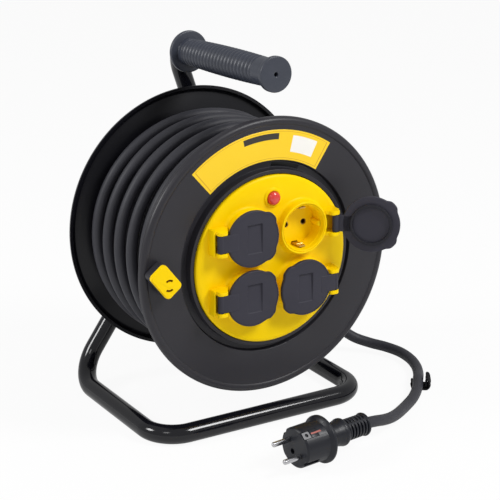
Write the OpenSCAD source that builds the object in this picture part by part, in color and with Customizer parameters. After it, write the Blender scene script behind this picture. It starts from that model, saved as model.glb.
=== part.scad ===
// Extension cord reel: a cable drum on an axle in a bent tube stand, with a socket
// panel that stands still while the drum turns round it. Millimetres, +Z up,
// +Y towards the back, origin on the floor under the middle of the reel.

/* [Drum] */
// Diameter of both flanges
flange_d = 260; // [250:1:280]
// Distance between the rims of the two flanges
rim_gap = 136; // [130:1:150]
// Depth of each rolled rim, from its edge to the flange face
rim_depth = 5.5; // [5:0.5:7]
// How far the rolled rim stands out from the flange face
rim_rise = 2; // [1.5:0.1:2.5]
// Wall of the flanges
flange_wall = 3; // [2.5:0.1:3.5]
// Wall of the barrel
barrel_wall = 2.2; // [2:0.1:2.3]
// Wall of the collar round the socket panel
collar_wall = 3.7; // [3.6:0.1:5]
// How far the collar stands in front of the flange face
collar_rise = 4.7; // [3:0.1:6]
// Depth of the valley between the collar and the flange face
valley_depth = 4; // [3:0.5:5]
// Width of the valley
valley_w = 6; // [5:0.5:8]
// Gap between the flanges and the floor
ground_gap = 36.5; // [32:0.5:60]

/* [Axle] */
// Diameter of the axle
axle_d = 20; // [18:1:22]
// Wall of each bearing bush
bush_wall = 5.9; // [4:0.1:7]
// Length of each bearing bush
bush_len = 20; // [14:1:24]
// Radial running clearance in the bushes
axle_fit = 0.05; // [0.03:0.01:0.1]
// Wall of the hub round the bushes
hub_wall = 6; // [4:0.5:8]
// Length of the hub inside the drum
hub_depth = 45; // [42:1:48]
// Length of the hub behind the rear flange
hub_rear = 14; // [12:1:20]
// Diameter of the slip rings
slip_ring_d = 52; // [48:1:54]

/* [Socket panel] */
// Diameter of the panel
panel_d = 157.6; // [157:0.2:160]
// Thickness of the panel
panel_t = 3; // [2.5:0.1:4]
// Gap between the panel and the turning collar
panel_gap = 0.5; // [0.4:0.1:0.8]
// Depth of the panel, from its face to the rear edge of its skirt
panel_depth = 7.5; // [7:0.5:9]
// How far the panel stands in front of the flange face
panel_rise = 8.5; // [8:0.5:9.5]
// Distance between the centres of neighbouring sockets
socket_pitch = 56; // [55.6:0.2:57]
// Height of the round socket towers on the panel
tower_h = 10; // [8:0.5:12]
// Wall of a tower round its socket insert
tower_wall = 2.3; // [2:0.1:2.6]
// Diameter of the plug recess in a socket
recess_d = 40.3; // [40:0.1:40.6]
// Depth of the plug recess
recess_depth = 17.5; // [16.5:0.5:18.5]
// Wall of a socket insert
insert_wall = 1.8; // [1.5:0.1:2]
// Distance between the two pins of a socket and of the plug
pin_pitch = 19; // [18.5:0.5:19.5]
// Diameter of a plug pin
pin_d = 4.8; // [4.6:0.1:5]
// Length of a plug pin
pin_len = 19; // [18:0.5:20]
// Radial clearance of a plug pin in its contact sleeve
sleeve_fit = 0.05; // [0.03:0.01:0.09]
// Depth of the housing behind the panel
housing_depth = 36.5; // [36:0.5:39]
// Wall of the housing
housing_wall = 2.5; // [2:0.1:3]
// Height of the reset button above the middle of the panel
button_height = 58.5; // [58:0.5:59.5]
// Diameter of the reset button
button_d = 12.5; // [11:0.5:13]
// Travel of the reset button
button_travel = 2; // [1:0.5:3]

/* [Flaps] */
// Diameter of a socket flap
flap_d = 52.6; // [52:0.2:53.4]
// Thickness of a socket flap
flap_t = 3.8; // [3.2:0.1:4.5]
// Distance from a socket's centre to its flap's hinge
hinge_reach = 32.5; // [32:0.5:33.5]
// Diameter of the hinge pins
hinge_pin_d = 2.5; // [2:0.1:3]
// Diameter of the hinge knuckles
knuckle_d = 6.4; // [6:0.1:6.8]
// Length of the hinge knuckles
knuckle_len = 16; // [14:1:17]
// Width of the finger recess in a flap
pocket_w = 15; // [12:1:16]
// Height of the finger recess in a flap
pocket_h = 27; // [22:1:28]
// How far the open flap is turned back
open_angle = 140; // [120:1:160]
// How far a flap can open
flap_swing = 165; // [160:1:170]

/* [Winding knob] */
// Distance of the knob's pin from the flange's edge
knob_inset = 20.4; // [20:0.1:24]
// Length of the knob's cap
knob_l = 29.5; // [27:0.5:33]
// Width of the knob's cap
knob_w = 19; // [18:1:22]
// How far the knob stands in front of the flange face
knob_h = 15; // [13:0.5:16]
// Thickness of the knob's coloured cap
knob_cap_t = 3.5; // [3:0.5:4]
// Distance of the knob's pin from the middle of its cap
knob_offset = 4.5; // [3:0.1:5]
// Diameter of the knob's pin
knob_pin_d = 6; // [5:0.5:7]

/* [Stand] */
// Outer diameter of the stand's tube
tube_d = 18; // [16:0.5:20]
// Wall of the tube
tube_wall = 1.5; // [1.2:0.1:2]
// Width of the stand between the tube centres
stand_w = 221; // [210:1:240]
// Bend radius of the front corners
front_bend = 30; // [26:1:45]
// Bend radius of the rear corners
rear_bend = 34; // [28:1:45]
// Thickness of the hub plate
plate_t = 3; // [2.5:0.5:4]
// Height above the axle at which the handle tube plugs in
joint_rise = 78; // [72:1:90]
// How deep the handle tube plugs in
spigot_len = 28; // [20:1:30]

/* [Handle] */
// Height of the handle's rear corner above the flanges
handle_gap = 30.5; // [28:0.5:45]
// Slope of the handle, rising to the front
handle_slope = 3.1; // [0:0.1:5]
// Distance of the handle from the middle, to the right
handle_x = 3; // [0:0.5:10]
// Bend radius below the handle
handle_bend = 26; // [24:1:30]
// Length of the grip
grip_l = 159; // [150:1:170]
// Diameter of the grip in its middle
grip_d = 28; // [26:0.5:32]
// Diameter of the grip at its ends
grip_end_d = 24.6; // [24:0.2:28]
// Number of ribs on the grip
grip_ribs = 21; // [16:1:24]
// Diameter of the collar at the rear of the grip
grip_collar_d = 40; // [34:1:44]

/* [Cable] */
// Diameter of the cable
cable_d = 10.5; // [10:0.1:11]
// Depth of the wound layers under the outer one
core_depth = 19.1; // [18:0.1:20]
// Distance between the loops of the outer layer
loop_pitch = 22.3; // [22:0.1:22.5]
// How far the loops lean sideways, at the last one
loop_lean = 17; // [16:0.5:17.5]
// Number of loops in the outer layer
loops = 5.2; // [5.15:0.01:5.25]

/* [Plug] */
// Diameter of the plug's body
plug_d = 37.5; // [36:0.5:39]
// Length of the plug's body, from its face to its collar
plug_body_l = 29; // [27:1:33]
// Diameter of the plug's collar
plug_collar_d = 44.4; // [42:0.2:48]
// Length of the plug's boot, behind the collar
plug_boot_l = 48; // [46:1:54]

/* [Hidden] */
$fn = 48;

// Clearances: between turning bodies, on pins, and between pieces fitted together
run_gap = 0.3;
pin_fit = 0.05;
fit_gap = 0.1;

// Drum, measured from its axle and from the front rim's edge towards the back
flange_r = flange_d / 2;
rim_r = rim_depth + rim_rise;
rim_mid = flange_r - rim_r;
face_y = -rim_depth;
bead_r = 4.4;
bead_mid = flange_r - bead_r;
bead_y = face_y - rim_rise / 2 + bead_r;
panel_r = panel_d / 2;
collar_in = panel_r + panel_gap;
barrel_r = collar_in + collar_wall;
barrel_in = barrel_r - barrel_wall;
collar_y = face_y - collar_rise;
valley_y = face_y + valley_depth;
valley_r = barrel_r + valley_w;
barrel_front = valley_y + flange_wall;
inner_front = face_y + flange_wall;
inner_back = rim_gap + rim_depth - flange_wall;
rear_face = rim_gap + rim_depth;
axle_height = flange_r + ground_gap;
boss_r = 4.6;
boss_ring = barrel_in - boss_r + 1;
boss_l = 18;
screw_r = 2;
screw_head_r = 3.8;
screw_head = 2.4;

// Axle and hub
axle_r = axle_d / 2;
bush_in = axle_r + axle_fit;
bush_out = bush_in + bush_wall;
hub_in = bush_out + pin_fit;
hub_out = hub_in + hub_wall;
hub_front = inner_back - hub_depth;
hub_back = rear_face + hub_rear;
washer_t = 3.6;
ring_t = 1.6;
ring_groove = 1.2;
plate_front = hub_back + run_gap + washer_t;
plate_back = plate_front + plate_t;
tube_r = tube_d / 2;
tube_in = tube_r - tube_wall;
leg_y = plate_back + tube_r;
bolt_r = 6;
bolt_head = 6.4;
bolt_washer = 1.6;
small_bolt_r = 3;
small_head = 4;
nut_h = 5;

// Socket panel
panel_y = face_y - panel_rise;
web_back = panel_y + panel_t;
panel_back = panel_y + panel_depth;
panel_edge = 2.6;
panel_skirt = 2.4;
rim_y = panel_y - tower_h;
recess_r = recess_d / 2;
insert_r = recess_r + insert_wall;
tower_in = insert_r + fit_gap;
tower_r = tower_in + tower_wall;
recess_y = rim_y + recess_depth;
insert_back = recess_y + 3;
socket_x = socket_pitch / 2;
sockets = [for (z = [1, -1]) for (x = [-1, 1]) [x * socket_x, z * socket_x]];
housing_r = panel_r - 5;
housing_back = panel_back + housing_depth;
housing_floor = housing_back - 3;
post_ring = housing_r - housing_wall - 7;
post_angles = [20, -20, 160, 200];
sleeve_in = pin_d / 2 + sleeve_fit;
sleeve_r = sleeve_in + 0.9;
sleeve_front = recess_y + 0.5;
strip_y = sleeve_front + pin_len + 1;
strip_t = 1.2;
strip_w = 7;
clip_x = 6;
clip_mid = recess_r - 2;
earth_y = insert_back + 8;
bus_reach = socket_x + 23;
key_w = 5;
key_h = 4;
button_r = button_d / 2;
bezel_r = button_r + 2.3;
bezel_y = panel_y - 1.5;
button_y = bezel_y - 4.5;
lip_front = panel_back + run_gap;
lip_back = lip_front + 1.5;
cutout_y = lip_back + button_travel + 3;
post_gap = 0.4;

// Flaps
flap_back = rim_y - 0.7;
flap_front = flap_back - flap_t;
knuckle_r = knuckle_d / 2;
hinge_pin_r = hinge_pin_d / 2;
hinge_y = flap_front + knuckle_r - 0.2;
hinge_x = socket_x + hinge_reach;
flap_r = flap_d / 2;
seal_r = recess_r - 0.9;
seal_w = 2.3;
ear_t = 3.6;
ear_gap = 0.4;
ear_r = knuckle_r + 0.4;
ear_tip = 3;
fin_reach = hinge_reach - (tower_in + 1);
lug_r = 5;
lug_reach = flap_r - 3.3;

// Slip rings, on the still axle inside the barrel
slip_ring_r = slip_ring_d / 2;
carrier_r = slip_ring_r - 4;
carrier_y = housing_back + 13;
slip_w = 10;
slip_step = 15;
carrier_l = 3 * slip_step + 2;
slip_ys = [for (i = [0:2]) carrier_y + 8.5 + slip_step * i];
brush_r = 3.4;
brush_l = 11;
brush_x = slip_ring_r + run_gap;
holder_x = slip_ring_r + 3;
holder_l = 17;

// Winding knob
knob_ring = flange_r - knob_inset;
knob_place = 181.5;
knob_turn = 128;
knob_x = knob_ring * cos(knob_place);
knob_z = knob_ring * sin(knob_place);
knob_back = face_y - run_gap;
knob_front = face_y - knob_h;
knob_split = knob_front + knob_cap_t;
knob_pin_r = knob_pin_d / 2;
knob_head_r = knob_pin_r + 2;
knob_head = 2.4;
knob_foot_r = 7;

// Stand: both legs rise from the rear corners, the left one straight at the axle
half_w = stand_w / 2;
handle_z = axle_height + flange_r + handle_gap;
left_lean = atan2(half_w, axle_height - tube_r);
right_lean = atan2(half_w - handle_x, handle_z - tube_r);
left_up = [sin(left_lean), 0, cos(left_lean)];
right_up = [-sin(right_lean), 0, cos(right_lean)];
weld_len = 2 * half_w / (left_up.x + left_up.z * tan(right_lean));
weld_cut = (tube_r + tube_in * cos(left_lean + right_lean)) / sin(left_lean + right_lean);
plate_x = half_w - (axle_height - tube_r) * tan(right_lean);
handle_way = [0, -cos(handle_slope), sin(handle_slope)];

// The reel's reach to the front and the back sets where its middle is
front_reach = hinge_y - (hinge_reach + flap_r) * sin(open_angle)
    + (flap_back - hinge_y) * cos(open_angle);
back_reach = leg_y + tube_r + bolt_washer + bolt_head;
front_y = -(front_reach + back_reach) / 2;

function unit(v) = v / norm(v);
function in_row(p) = [p.x, p.y + front_y, p.z + axle_height];

leg_row_y = leg_y + front_y;
left_corner = [-half_w, leg_row_y, tube_r];
right_corner = [half_w, leg_row_y, tube_r];
joint_point = right_corner + right_up * ((axle_height + joint_rise - tube_r) / right_up.z);
handle_corner = [handle_x, leg_row_y, handle_z];
grip_start = handle_corner + handle_way * (handle_bend + 1);
grip_end = grip_start + handle_way * grip_l;
weld_point = left_corner + left_up * weld_len;
weld_step = 0.3;
stand_route = [
    left_corner + left_up * (weld_len - 24), left_corner, [-half_w, front_y, tube_r],
    [half_w, front_y, tube_r], right_corner, joint_point
];
stand_bends = [0, rear_bend, front_bend, front_bend, rear_bend, 0];

// Wound cable: the outer layer lies on the inner ones, its loops leaning more and more.
// The last one swings back to the rear flange, and its straight tail leads out of reach
// of the turning loops
cable_r = cable_d / 2;
core_r = barrel_r + core_depth;
wound_r = (core_r + cable_r + 0.2) / cos(7.5);
first_loop_y = inner_front + cable_r + 6;
leave_angle = 25;
end_lane = inner_back - cable_r - 0.4;
end_turn = 0.16;
tail = 50;
core_mid = core_r - cable_r;
inner_pitch = cable_d + 0.25;
inner_first = first_loop_y + 2.1;
inner_turns = floor((inner_back - 0.5 - inner_first - cable_r) / inner_pitch) + 1;
climb = 0.14;
notch_r = wound_r - cable_d - 0.4;
function loop_angle(u) = leave_angle + 360 * (loops - u);
function ease(t) = let (s = min(1, max(0, t))) s * s * (3 - 2 * s);
function loop_r(u) = notch_r + (wound_r - notch_r) * ease(u / climb);
function lean_y(u) = first_loop_y + loop_pitch * u * (1 - 0.09 * u / loops)
    - loop_lean * (u / loops) * cos(loop_angle(u));
function loop_y(u) = lean_y(u) + (end_lane - lean_y(loops)) * ease(1 - (loops - u) / end_turn);
function loop_point(u) =
    [loop_r(u) * cos(loop_angle(u)), loop_y(u), loop_r(u) * sin(loop_angle(u))];
wound_steps = round(loops * 24);
start_way = [sin(loop_angle(0)), 0, -cos(loop_angle(0))];
end_way = unit([sin(leave_angle), -0.04, -cos(leave_angle)]);
wound_path = concat(
    [loop_point(0) - start_way * cable_d],
    [for (i = [0:wound_steps]) loop_point(i * loops / wound_steps)],
    [loop_point(loops) + end_way * tail]
);
wound_last = len(wound_path) - 1;
wound_ways = [for (i = [0:wound_last])
    i < 2 ? start_way : i > wound_last - 2 ? end_way :
    unit(wound_path[i + 1] - wound_path[i - 1])];
echo(least_gap_between_loops = min([for (i = [0:wound_last - 8])
    for (j = [i + 8:wound_last]) norm(wound_path[i] - wound_path[j])]) - cable_d);

// Plug, lying on its collar
plug_heading = 7.6;
plug_roll = 36;
plug_face = [-31, front_y - 102, plug_collar_d / 2];
collar_l = 5;
boot_start = plug_body_l + collar_l;
boot_end = boot_start + plug_boot_l;
boot_bore = 24;
plug_way = [cos(plug_heading), sin(plug_heading), 0];
plug_pin_r = pin_d / 2;
pin_root_r = plug_pin_r - 0.4;

// Free cord: leaves the drum at the right, drops to the floor and runs to the plug.
// The floor points are measured from the front rim's edge and from the floor
cord_start = in_row(wound_path[wound_last] + end_way * run_gap);
floor_points = [
    [130.5, 129.4, 129.9], [134.6, 126.2, 103.9], [139.2, 122.1, 78.4], [145.6, 117.2, 53.8],
    [156, 111.4, 32], [170.6, 104.2, 17.6], [185.1, 93.4, 11], [196, 79.3, 8.8],
    [201.9, 62, 7.7], [201.9, 44.3, 6.5], [196.7, 27.2, 5.8], [187.4, 10.6, 5.8],
    [175.1, -5.6, 7.5], [162.2, -21.5, 6.2], [147.7, -35, 5.4], [133, -45.6, 5.4],
    [119.3, -55.8, 7], [106.2, -66.1, 9.7], [92.8, -74.8, 12.4], [79.4, -82, 16],
    [65.5, -87.2, 19.8]
];
cord_points = concat(
    [cord_start, cord_start + end_way * cable_d],
    [for (p = floor_points) p + [0, front_y, 0]],
    [plug_face + plug_way * boot_end, plug_face + plug_way * (boot_end - boot_bore + 1)]
);
tie_at = 14;
tie_l = 19;
tie_t = 1.5;
tie_low = -cable_r - 2.1;

function between(a, b, c, d, t) = 0.5 * (2 * b + (c - a) * t
    + (2 * a - 5 * b + 4 * c - d) * t * t + (3 * b - a - 3 * c + d) * t * t * t);
cord_last = len(cord_points) - 1;
cord_path = concat(
    [cord_points[0]],
    [for (i = [1:cord_last - 2]) for (t = [0, 0.5]) between(cord_points[i - 1],
        cord_points[i], cord_points[i + 1], cord_points[i + 2], t)],
    [cord_points[cord_last - 1], cord_points[cord_last]]
);
path_last = len(cord_path) - 1;
cord_ways = [for (i = [0:path_last])
    i < 2 ? end_way : i > path_last - 2 ? -plug_way :
    unit(cord_path[i + 1] - cord_path[i - 1])];
tie_way = unit(cord_points[tie_at + 1] - cord_points[tie_at - 1]);
echo(free_cord_length = round(len_sum(cord_path)));
echo(middle_in_y = front_y);

function len_sum(p, i = 1) = i < len(p) ? norm(p[i] - p[i - 1]) + len_sum(p, i + 1) : 0;
function ring_at(p, way, up, r, n) =
    let (side = unit(cross(way, up)), over = cross(side, way))
    [for (k = [0:n - 1]) p + r * (cos(360 * k / n) * side + sin(360 * k / n) * over)];

// A closed tube of n sides through the points, each ring square to its way
module swept(points, ways, up, r, n) {
    last = len(points) - 1;
    rings = [for (i = [0:last]) each ring_at(points[i], ways[i], up, r, n)];
    sides = [for (i = [0:last - 1]) for (k = [0:n - 1])
        let (a = i * n + k, b = i * n + (k + 1) % n) each [[a, b, b + n], [a, b + n, a + n]]];
    ends = [for (k = [1:n - 2]) each
        [[0, k + 1, k], [last * n, last * n + k, last * n + k + 1]]];
    polyhedron(rings, concat(sides, ends));
}

module place(o, xd, yd) {
    zd = cross(xd, yd);
    multmatrix([
        [xd.x, yd.x, zd.x, o.x],
        [xd.y, yd.y, zd.y, o.y],
        [xd.z, yd.z, zd.z, o.z],
        [0, 0, 0, 1]
    ]) children();
}

module reel() translate([0, front_y, axle_height]) children();
module at(x, z) translate([x, 0, z]) children();
module around(angles, r) for (a = angles) at(r * cos(a), r * sin(a)) children();
module turned() rotate([-90, 0, 0]) rotate_extrude() children();
module ring(ro, ri, y0, y1) turned() translate([ri, y0]) square([ro - ri, y1 - y0]);
module round_bar(r, y0, y1) translate([0, y0, 0]) rotate([-90, 0, 0]) cylinder(r = r, h = y1 - y0);
module hex_bar(r, y0, y1) translate([0, y0, 0]) rotate([-90, 0, 0]) cylinder(r = r, h = y1 - y0, $fn = 6);
module upright(y0, y1) translate([0, y1, 0]) rotate([90, 0, 0]) linear_extrude(y1 - y0) children();
module box(x0, x1, y0, y1, z0, z1) translate([x0, y0, z0]) cube([x1 - x0, y1 - y0, z1 - z0]);
module sector(ro, ri, y0, y1, from, to) rotate([-90, 0, 0]) rotate([0, 0, -to])
    rotate_extrude(angle = to - from) translate([ri, y0]) square([ro - ri, y1 - y0]);
module rounded(l, w, r) {
    square([l - 2 * r, w], center = true);
    square([l, w - 2 * r], center = true);
    for (x = [-1, 1]) for (z = [-1, 1])
        translate([x * (l / 2 - r), z * (w / 2 - r)]) circle(r);
}

// Tube along a route with round bends: each straight piece runs a little way into the
// bends beside it, which are a hair thicker
function turn_of(route, i) =
    acos(unit(route[i] - route[i - 1]) * unit(route[i + 1] - route[i]));
function cut_back(route, i, bends) =
    i == 0 || i == len(route) - 1 ? 0 : bends[i] * tan(turn_of(route, i) / 2);
module rod(a, b, r) translate(a)
    rotate([0, acos((b - a).z / norm(b - a)), atan2((b - a).y, (b - a).x)])
    cylinder(r = r, h = norm(b - a));
module pipe(route, bends, r, swell = 0.01) {
    for (i = [0:len(route) - 2]) {
        way = unit(route[i + 1] - route[i]);
        from = cut_back(route, i, bends);
        to = cut_back(route, i + 1, bends);
        rod(route[i] + way * (from - (from > 0 ? 0.3 : 0)),
            route[i + 1] - way * (to - (to > 0 ? 0.3 : 0)), r);
    }
    for (i = [1:len(route) - 2]) {
        d_in = unit(route[i] - route[i - 1]);
        d_out = unit(route[i + 1] - route[i]);
        side = unit(d_out - d_in * (d_in * d_out));
        start = route[i] - d_in * cut_back(route, i, bends);
        place(start + side * bends[i], -side, d_in)
            rotate_extrude(angle = turn_of(route, i)) translate([bends[i], 0]) circle(r + swell);
    }
}

// ---- Stand ----
joint_screw_at = joint_point - right_up * (spigot_len / 2);
module joint_bore(r) translate([joint_screw_at.x, 0, joint_screw_at.z])
    round_bar(r, leg_row_y, leg_row_y + tube_r + 6);

module base_tube() {
    inner = [for (i = [0:5]) i == 0
        ? weld_point - left_up * (weld_cut + 1) : stand_route[i] + (i == 5 ? right_up : [0, 0, 0])];
    color("black") difference() {
        union() {
            pipe(stand_route, stand_bends, tube_r);
            rod(weld_point - left_up * 25, weld_point, tube_r - weld_step);
        }
        pipe(inner, stand_bends, tube_in);
        joint_bore(screw_r + pin_fit);
        reel() round_bar(bolt_r + fit_gap, plate_back - 1, leg_y + 2 * tube_r);
        reel() for (s = [-1, 1]) at(plate_x + s * 12 * right_up.x, s * 12 * right_up.z)
            round_bar(small_bolt_r + fit_gap, plate_back - 1, leg_y + 2 * tube_r);
    }
}

module handle_tube() {
    spigot_end = joint_point - right_up * spigot_len;
    grip_in = grip_end - handle_way * 6;
    color("black") difference() {
        union() {
            pipe([joint_point, handle_corner, grip_in], [0, handle_bend, 0], tube_r, 0.03);
            rod(spigot_end, joint_point + right_up, tube_in - fit_gap);
        }
        pipe([spigot_end - right_up, handle_corner, grip_in + handle_way],
            [0, handle_bend, 0], tube_in - 1.5, 0.03);
        joint_bore(screw_r + pin_fit);
    }
}

module joint_screw() color("silver") translate([joint_screw_at.x, 0, joint_screw_at.z]) {
    round_bar(screw_r, leg_row_y + tube_in - 4, leg_row_y + tube_r + 1);
    round_bar(screw_head_r, leg_row_y + tube_r + 0.1, leg_row_y + tube_r + 0.1 + screw_head);
}

module handle_grip() {
    pitch = (grip_l - 34) / grip_ribs;
    base = [for (i = [0:grip_ribs - 1]) let (h = 10 + pitch * i, s = (h - grip_l / 2) / (grip_l / 2),
        r = grip_d / 2 - (grip_d - grip_end_d) / 2 * s * s) each
        [[r - 1.3, h], [r - 0.2, h + 0.7], [r, h + 1.6], [r, h + pitch - 2.6],
         [r - 0.2, h + pitch - 1.7], [r - 1.3, h + pitch - 1]]];
    color("dimgray") place(grip_start, [1, 0, 0], cross(handle_way, [1, 0, 0]))
        rotate_extrude() polygon(concat(
            [[tube_r + pin_fit, 0], [grip_collar_d / 2 - 1, 0], [grip_collar_d / 2, 1],
             [grip_collar_d / 2, 3], [grip_collar_d / 2 - 1, 4], [grip_end_d / 2 - 0.8, 4.6]],
            base,
            [[grip_end_d / 2 - 0.8, grip_l - 7], [16.2, grip_l - 5], [16.2, grip_l - 1],
             [15.2, grip_l], [3, grip_l], [3, grip_l - 5], [tube_r + pin_fit, grip_l - 5]]
        ));
}

module hub_plate() {
    color("black") reel() difference() {
        union() {
            round_bar(22, plate_front, plate_back);
            at(plate_x, 0) round_bar(22, plate_front, plate_back);
            box(0, plate_x, plate_front, plate_back, -22, 22);
        }
        round_bar(bolt_r + fit_gap, plate_front - 1, plate_back + 1);
        for (s = [-1, 1]) at(plate_x + s * 12 * right_up.x, s * 12 * right_up.z)
            round_bar(small_bolt_r + fit_gap, plate_front - 1, plate_back + 1);
    }
}

module plate_bolts() {
    color("silver") reel() for (s = [-1, 1])
        at(plate_x + s * 12 * right_up.x, s * 12 * right_up.z) {
            round_bar(small_bolt_r, plate_front - nut_h - 1.5, leg_y + tube_r + 1);
            hex_bar(5.6, leg_y + tube_r + 0.05, leg_y + tube_r + 0.05 + small_head);
        }
}

module plate_nuts() {
    color("silver") reel() for (s = [-1, 1])
        at(plate_x + s * 12 * right_up.x, s * 12 * right_up.z) difference() {
            hex_bar(5.6, plate_front - nut_h, plate_front);
            round_bar(small_bolt_r + pin_fit, plate_front - nut_h - 1, plate_front + 1);
        }
}

// ---- Axle ----
module axle() {
    color("silver") reel() difference() {
        round_bar(axle_r, housing_back, plate_front);
        round_bar(4.05, housing_back - 1, housing_back + 22);
        round_bar(bolt_r + pin_fit, plate_front - 32, plate_front + 1);
        box(-key_w / 2, key_w / 2, housing_back - 1, housing_back + key_h, -axle_r - 1, axle_r + 1);
        ring(axle_r + 1, axle_r - ring_groove, hub_front - run_gap - ring_t - 0.05,
            hub_front - run_gap + 0.05);
    }
}

module axle_bolt() {
    head_y = leg_y + tube_r + bolt_washer;
    color("silver") reel() {
        round_bar(bolt_r, plate_front - 30, head_y + 1);
        hex_bar(10.5, head_y, head_y + bolt_head);
        difference() {
            round_bar(12, head_y - bolt_washer, head_y);
            round_bar(bolt_r - 1, head_y - bolt_washer - 1, head_y + 1);
        }
    }
}

module retaining_ring() color("silver") reel()
    ring(axle_r + 3, axle_r - ring_groove + 0.1, hub_front - run_gap - ring_t, hub_front - run_gap);

module thrust_washers() color("gray") reel() for (i = [0:1])
    ring(axle_r + 9, axle_r + pin_fit, hub_back + run_gap + i * (washer_t / 2),
        hub_back + run_gap + (i + 1) * (washer_t / 2) - (i == 0 ? 0 : 0.02));

module axle_screw() color("silver") reel() {
    round_bar(4, housing_floor - 1, housing_back + 20);
    hex_bar(7.5, housing_floor - 5.3, housing_floor);
}

// ---- Socket panel ----
module hinge_bracket() {
    out = 3.9;
    root_y = panel_y - hinge_y + 1;
    for (s = [-1, 1]) {
        z0 = s > 0 ? knuckle_len / 2 + ear_gap : -knuckle_len / 2 - ear_gap - ear_t;
        translate([0, 0, z0]) linear_extrude(ear_t) {
            circle(ear_r);
            translate([-ear_tip, 0]) circle(ear_r);
            translate([-ear_tip, -ear_r]) square([ear_tip, 2 * ear_r]);
            polygon([
                [-ear_tip - ear_r, 0], [-ear_tip - ear_r, 1.4], [-fin_reach, rim_y - hinge_y + 0.9],
                [-fin_reach, root_y], [out, root_y], [out, 3], [ear_r * cos(30), ear_r * sin(30)]
            ]);
        }
    }
    box(out - 0.01, out + 1.5, 2.4, root_y,
        -knuckle_len / 2 - ear_gap - ear_t, knuckle_len / 2 + ear_gap + ear_t);
}

module at_hinges() for (c = sockets) reel() at(sign(c[0]) * hinge_x, c[1])
    translate([0, hinge_y, 0]) mirror([c[0] < 0 ? 1 : 0, 0, 0]) children();

module socket_panel() {
    color("gold") difference() {
        union() {
            reel() {
                turned() polygon(concat(
                    [[0, panel_y]],
                    arc_points(panel_r - panel_edge, panel_y + panel_edge, panel_edge, -90, 0),
                    [[panel_r, panel_back], [panel_r - panel_skirt, panel_back],
                     [panel_r - panel_skirt, web_back], [housing_r, web_back],
                     [housing_r, panel_back], [housing_r - housing_wall, panel_back],
                     [housing_r - housing_wall, web_back], [0, web_back]]
                ));
                for (c = sockets) at(c[0], c[1]) round_bar(tower_r, rim_y, panel_back);
                at(0, button_height) round_bar(bezel_r, bezel_y, panel_back);
                around(post_angles, post_ring) round_bar(5, panel_y + 1, housing_floor);
            }
            intersection() {
                at_hinges() hinge_bracket();
                reel() round_bar(panel_r - 0.3, flap_front - 2, panel_back);
            }
        }
        reel() {
            for (c = sockets) at(c[0], c[1]) round_bar(tower_in, rim_y - 1, panel_back + 1);
            at(0, button_height) round_bar(button_r + fit_gap, bezel_y - 1, panel_back + 1);
            around(post_angles, post_ring)
                round_bar(screw_r + pin_fit, housing_floor - 14, housing_floor + 1);
        }
        at_hinges() translate([0, 0, -knuckle_len]) cylinder(r = hinge_pin_r + 0.02, h = 2 * knuckle_len);
    }
}

module socket_inserts() {
    color("gold") reel() for (c = sockets) at(c[0], c[1]) difference() {
        round_bar(insert_r, rim_y + 0.5, insert_back);
        round_bar(recess_r, rim_y - 1, recess_y);
        for (x = [-1, 1]) at(x * pin_pitch / 2, 0)
            round_bar(sleeve_r + pin_fit, recess_y - 1, insert_back + 1);
        for (z = [-1, 1]) box(-clip_x / 2 - 0.3, clip_x / 2 + 0.3, recess_y - 1, insert_back + 1,
            z * clip_mid - 1.2, z * clip_mid + 1.2);
    }
}

module socket_housing() {
    color("black") reel() {
        difference() {
            round_bar(housing_r, panel_back, housing_back);
            round_bar(housing_r - housing_wall, panel_back - 1, housing_floor);
            round_bar(4.05, housing_floor - 1, housing_back + 1);
            around(post_angles, post_ring)
                round_bar(screw_r + pin_fit, housing_floor - 1, housing_back + 1);
        }
        difference() {
            box(-key_w / 2 + 0.1, key_w / 2 - 0.1, housing_back - 1, housing_back + key_h - 0.2,
                -axle_r + 0.5, axle_r - 0.5);
            round_bar(4.05, housing_floor - 1, housing_back + key_h + 1);
        }
    }
}

module housing_screws() color("silver") reel() around(post_angles, post_ring) {
    round_bar(screw_r, housing_floor - 12, housing_back + 1);
    round_bar(screw_head_r, housing_back, housing_back + screw_head);
}

module contact_sleeves() color("goldenrod") reel() for (c = sockets) for (x = [-1, 1])
    at(c[0] + x * pin_pitch / 2, c[1]) ring(sleeve_r, sleeve_in, sleeve_front, strip_y);

module earth_clips() color("goldenrod") reel() for (c = sockets) for (z = [-1, 1]) {
    zc = c[1] + z * clip_mid;
    box(c[0] - clip_x / 2, c[0] + clip_x / 2, rim_y + 4, earth_y, zc - 0.6, zc + 0.6);
    at(c[0] - clip_x / 2, zc - z * 0.6) translate([0, rim_y + 9, 0]) rotate([0, 90, 0])
        cylinder(r = 1.2, h = clip_x);
}

module strips(xs, z0, z1, y) for (x = xs)
    box(x - strip_w / 2, x + strip_w / 2, y, y + strip_t, z0, z1);

module live_busbar() color("orange") reel() {
    xs = [-socket_x - pin_pitch / 2, socket_x - pin_pitch / 2];
    strips(xs, -socket_x - 5, bus_reach, strip_y);
    box(xs[0], xs[1], strip_y, strip_y + strip_t, bus_reach - strip_w, bus_reach);
}

module neutral_busbar() color("orange") reel() {
    xs = [-socket_x + pin_pitch / 2, socket_x + pin_pitch / 2];
    strips(xs, -bus_reach, socket_x + 5, strip_y);
    box(xs[0], xs[1], strip_y, strip_y + strip_t, -bus_reach, strip_w - bus_reach);
}

module earth_busbar() color("orange") reel() {
    reach = socket_x + recess_r;
    strips([-socket_x, socket_x], -reach, reach, earth_y);
    box(-socket_x, socket_x, earth_y, earth_y + strip_t, -3.5, 3.5);
}

module thermal_cutout() color("gray") reel() at(0, button_height) {
    box(-8.5, 8.5, cutout_y, cutout_y + 12, -6, 5);
    round_bar(3, lip_back + button_travel + post_gap, cutout_y + 1);
}

module button_spring() color("silver") reel() at(0, button_height)
    ring(4.6, 3.4, lip_back + 0.02, cutout_y - 0.02);

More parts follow.
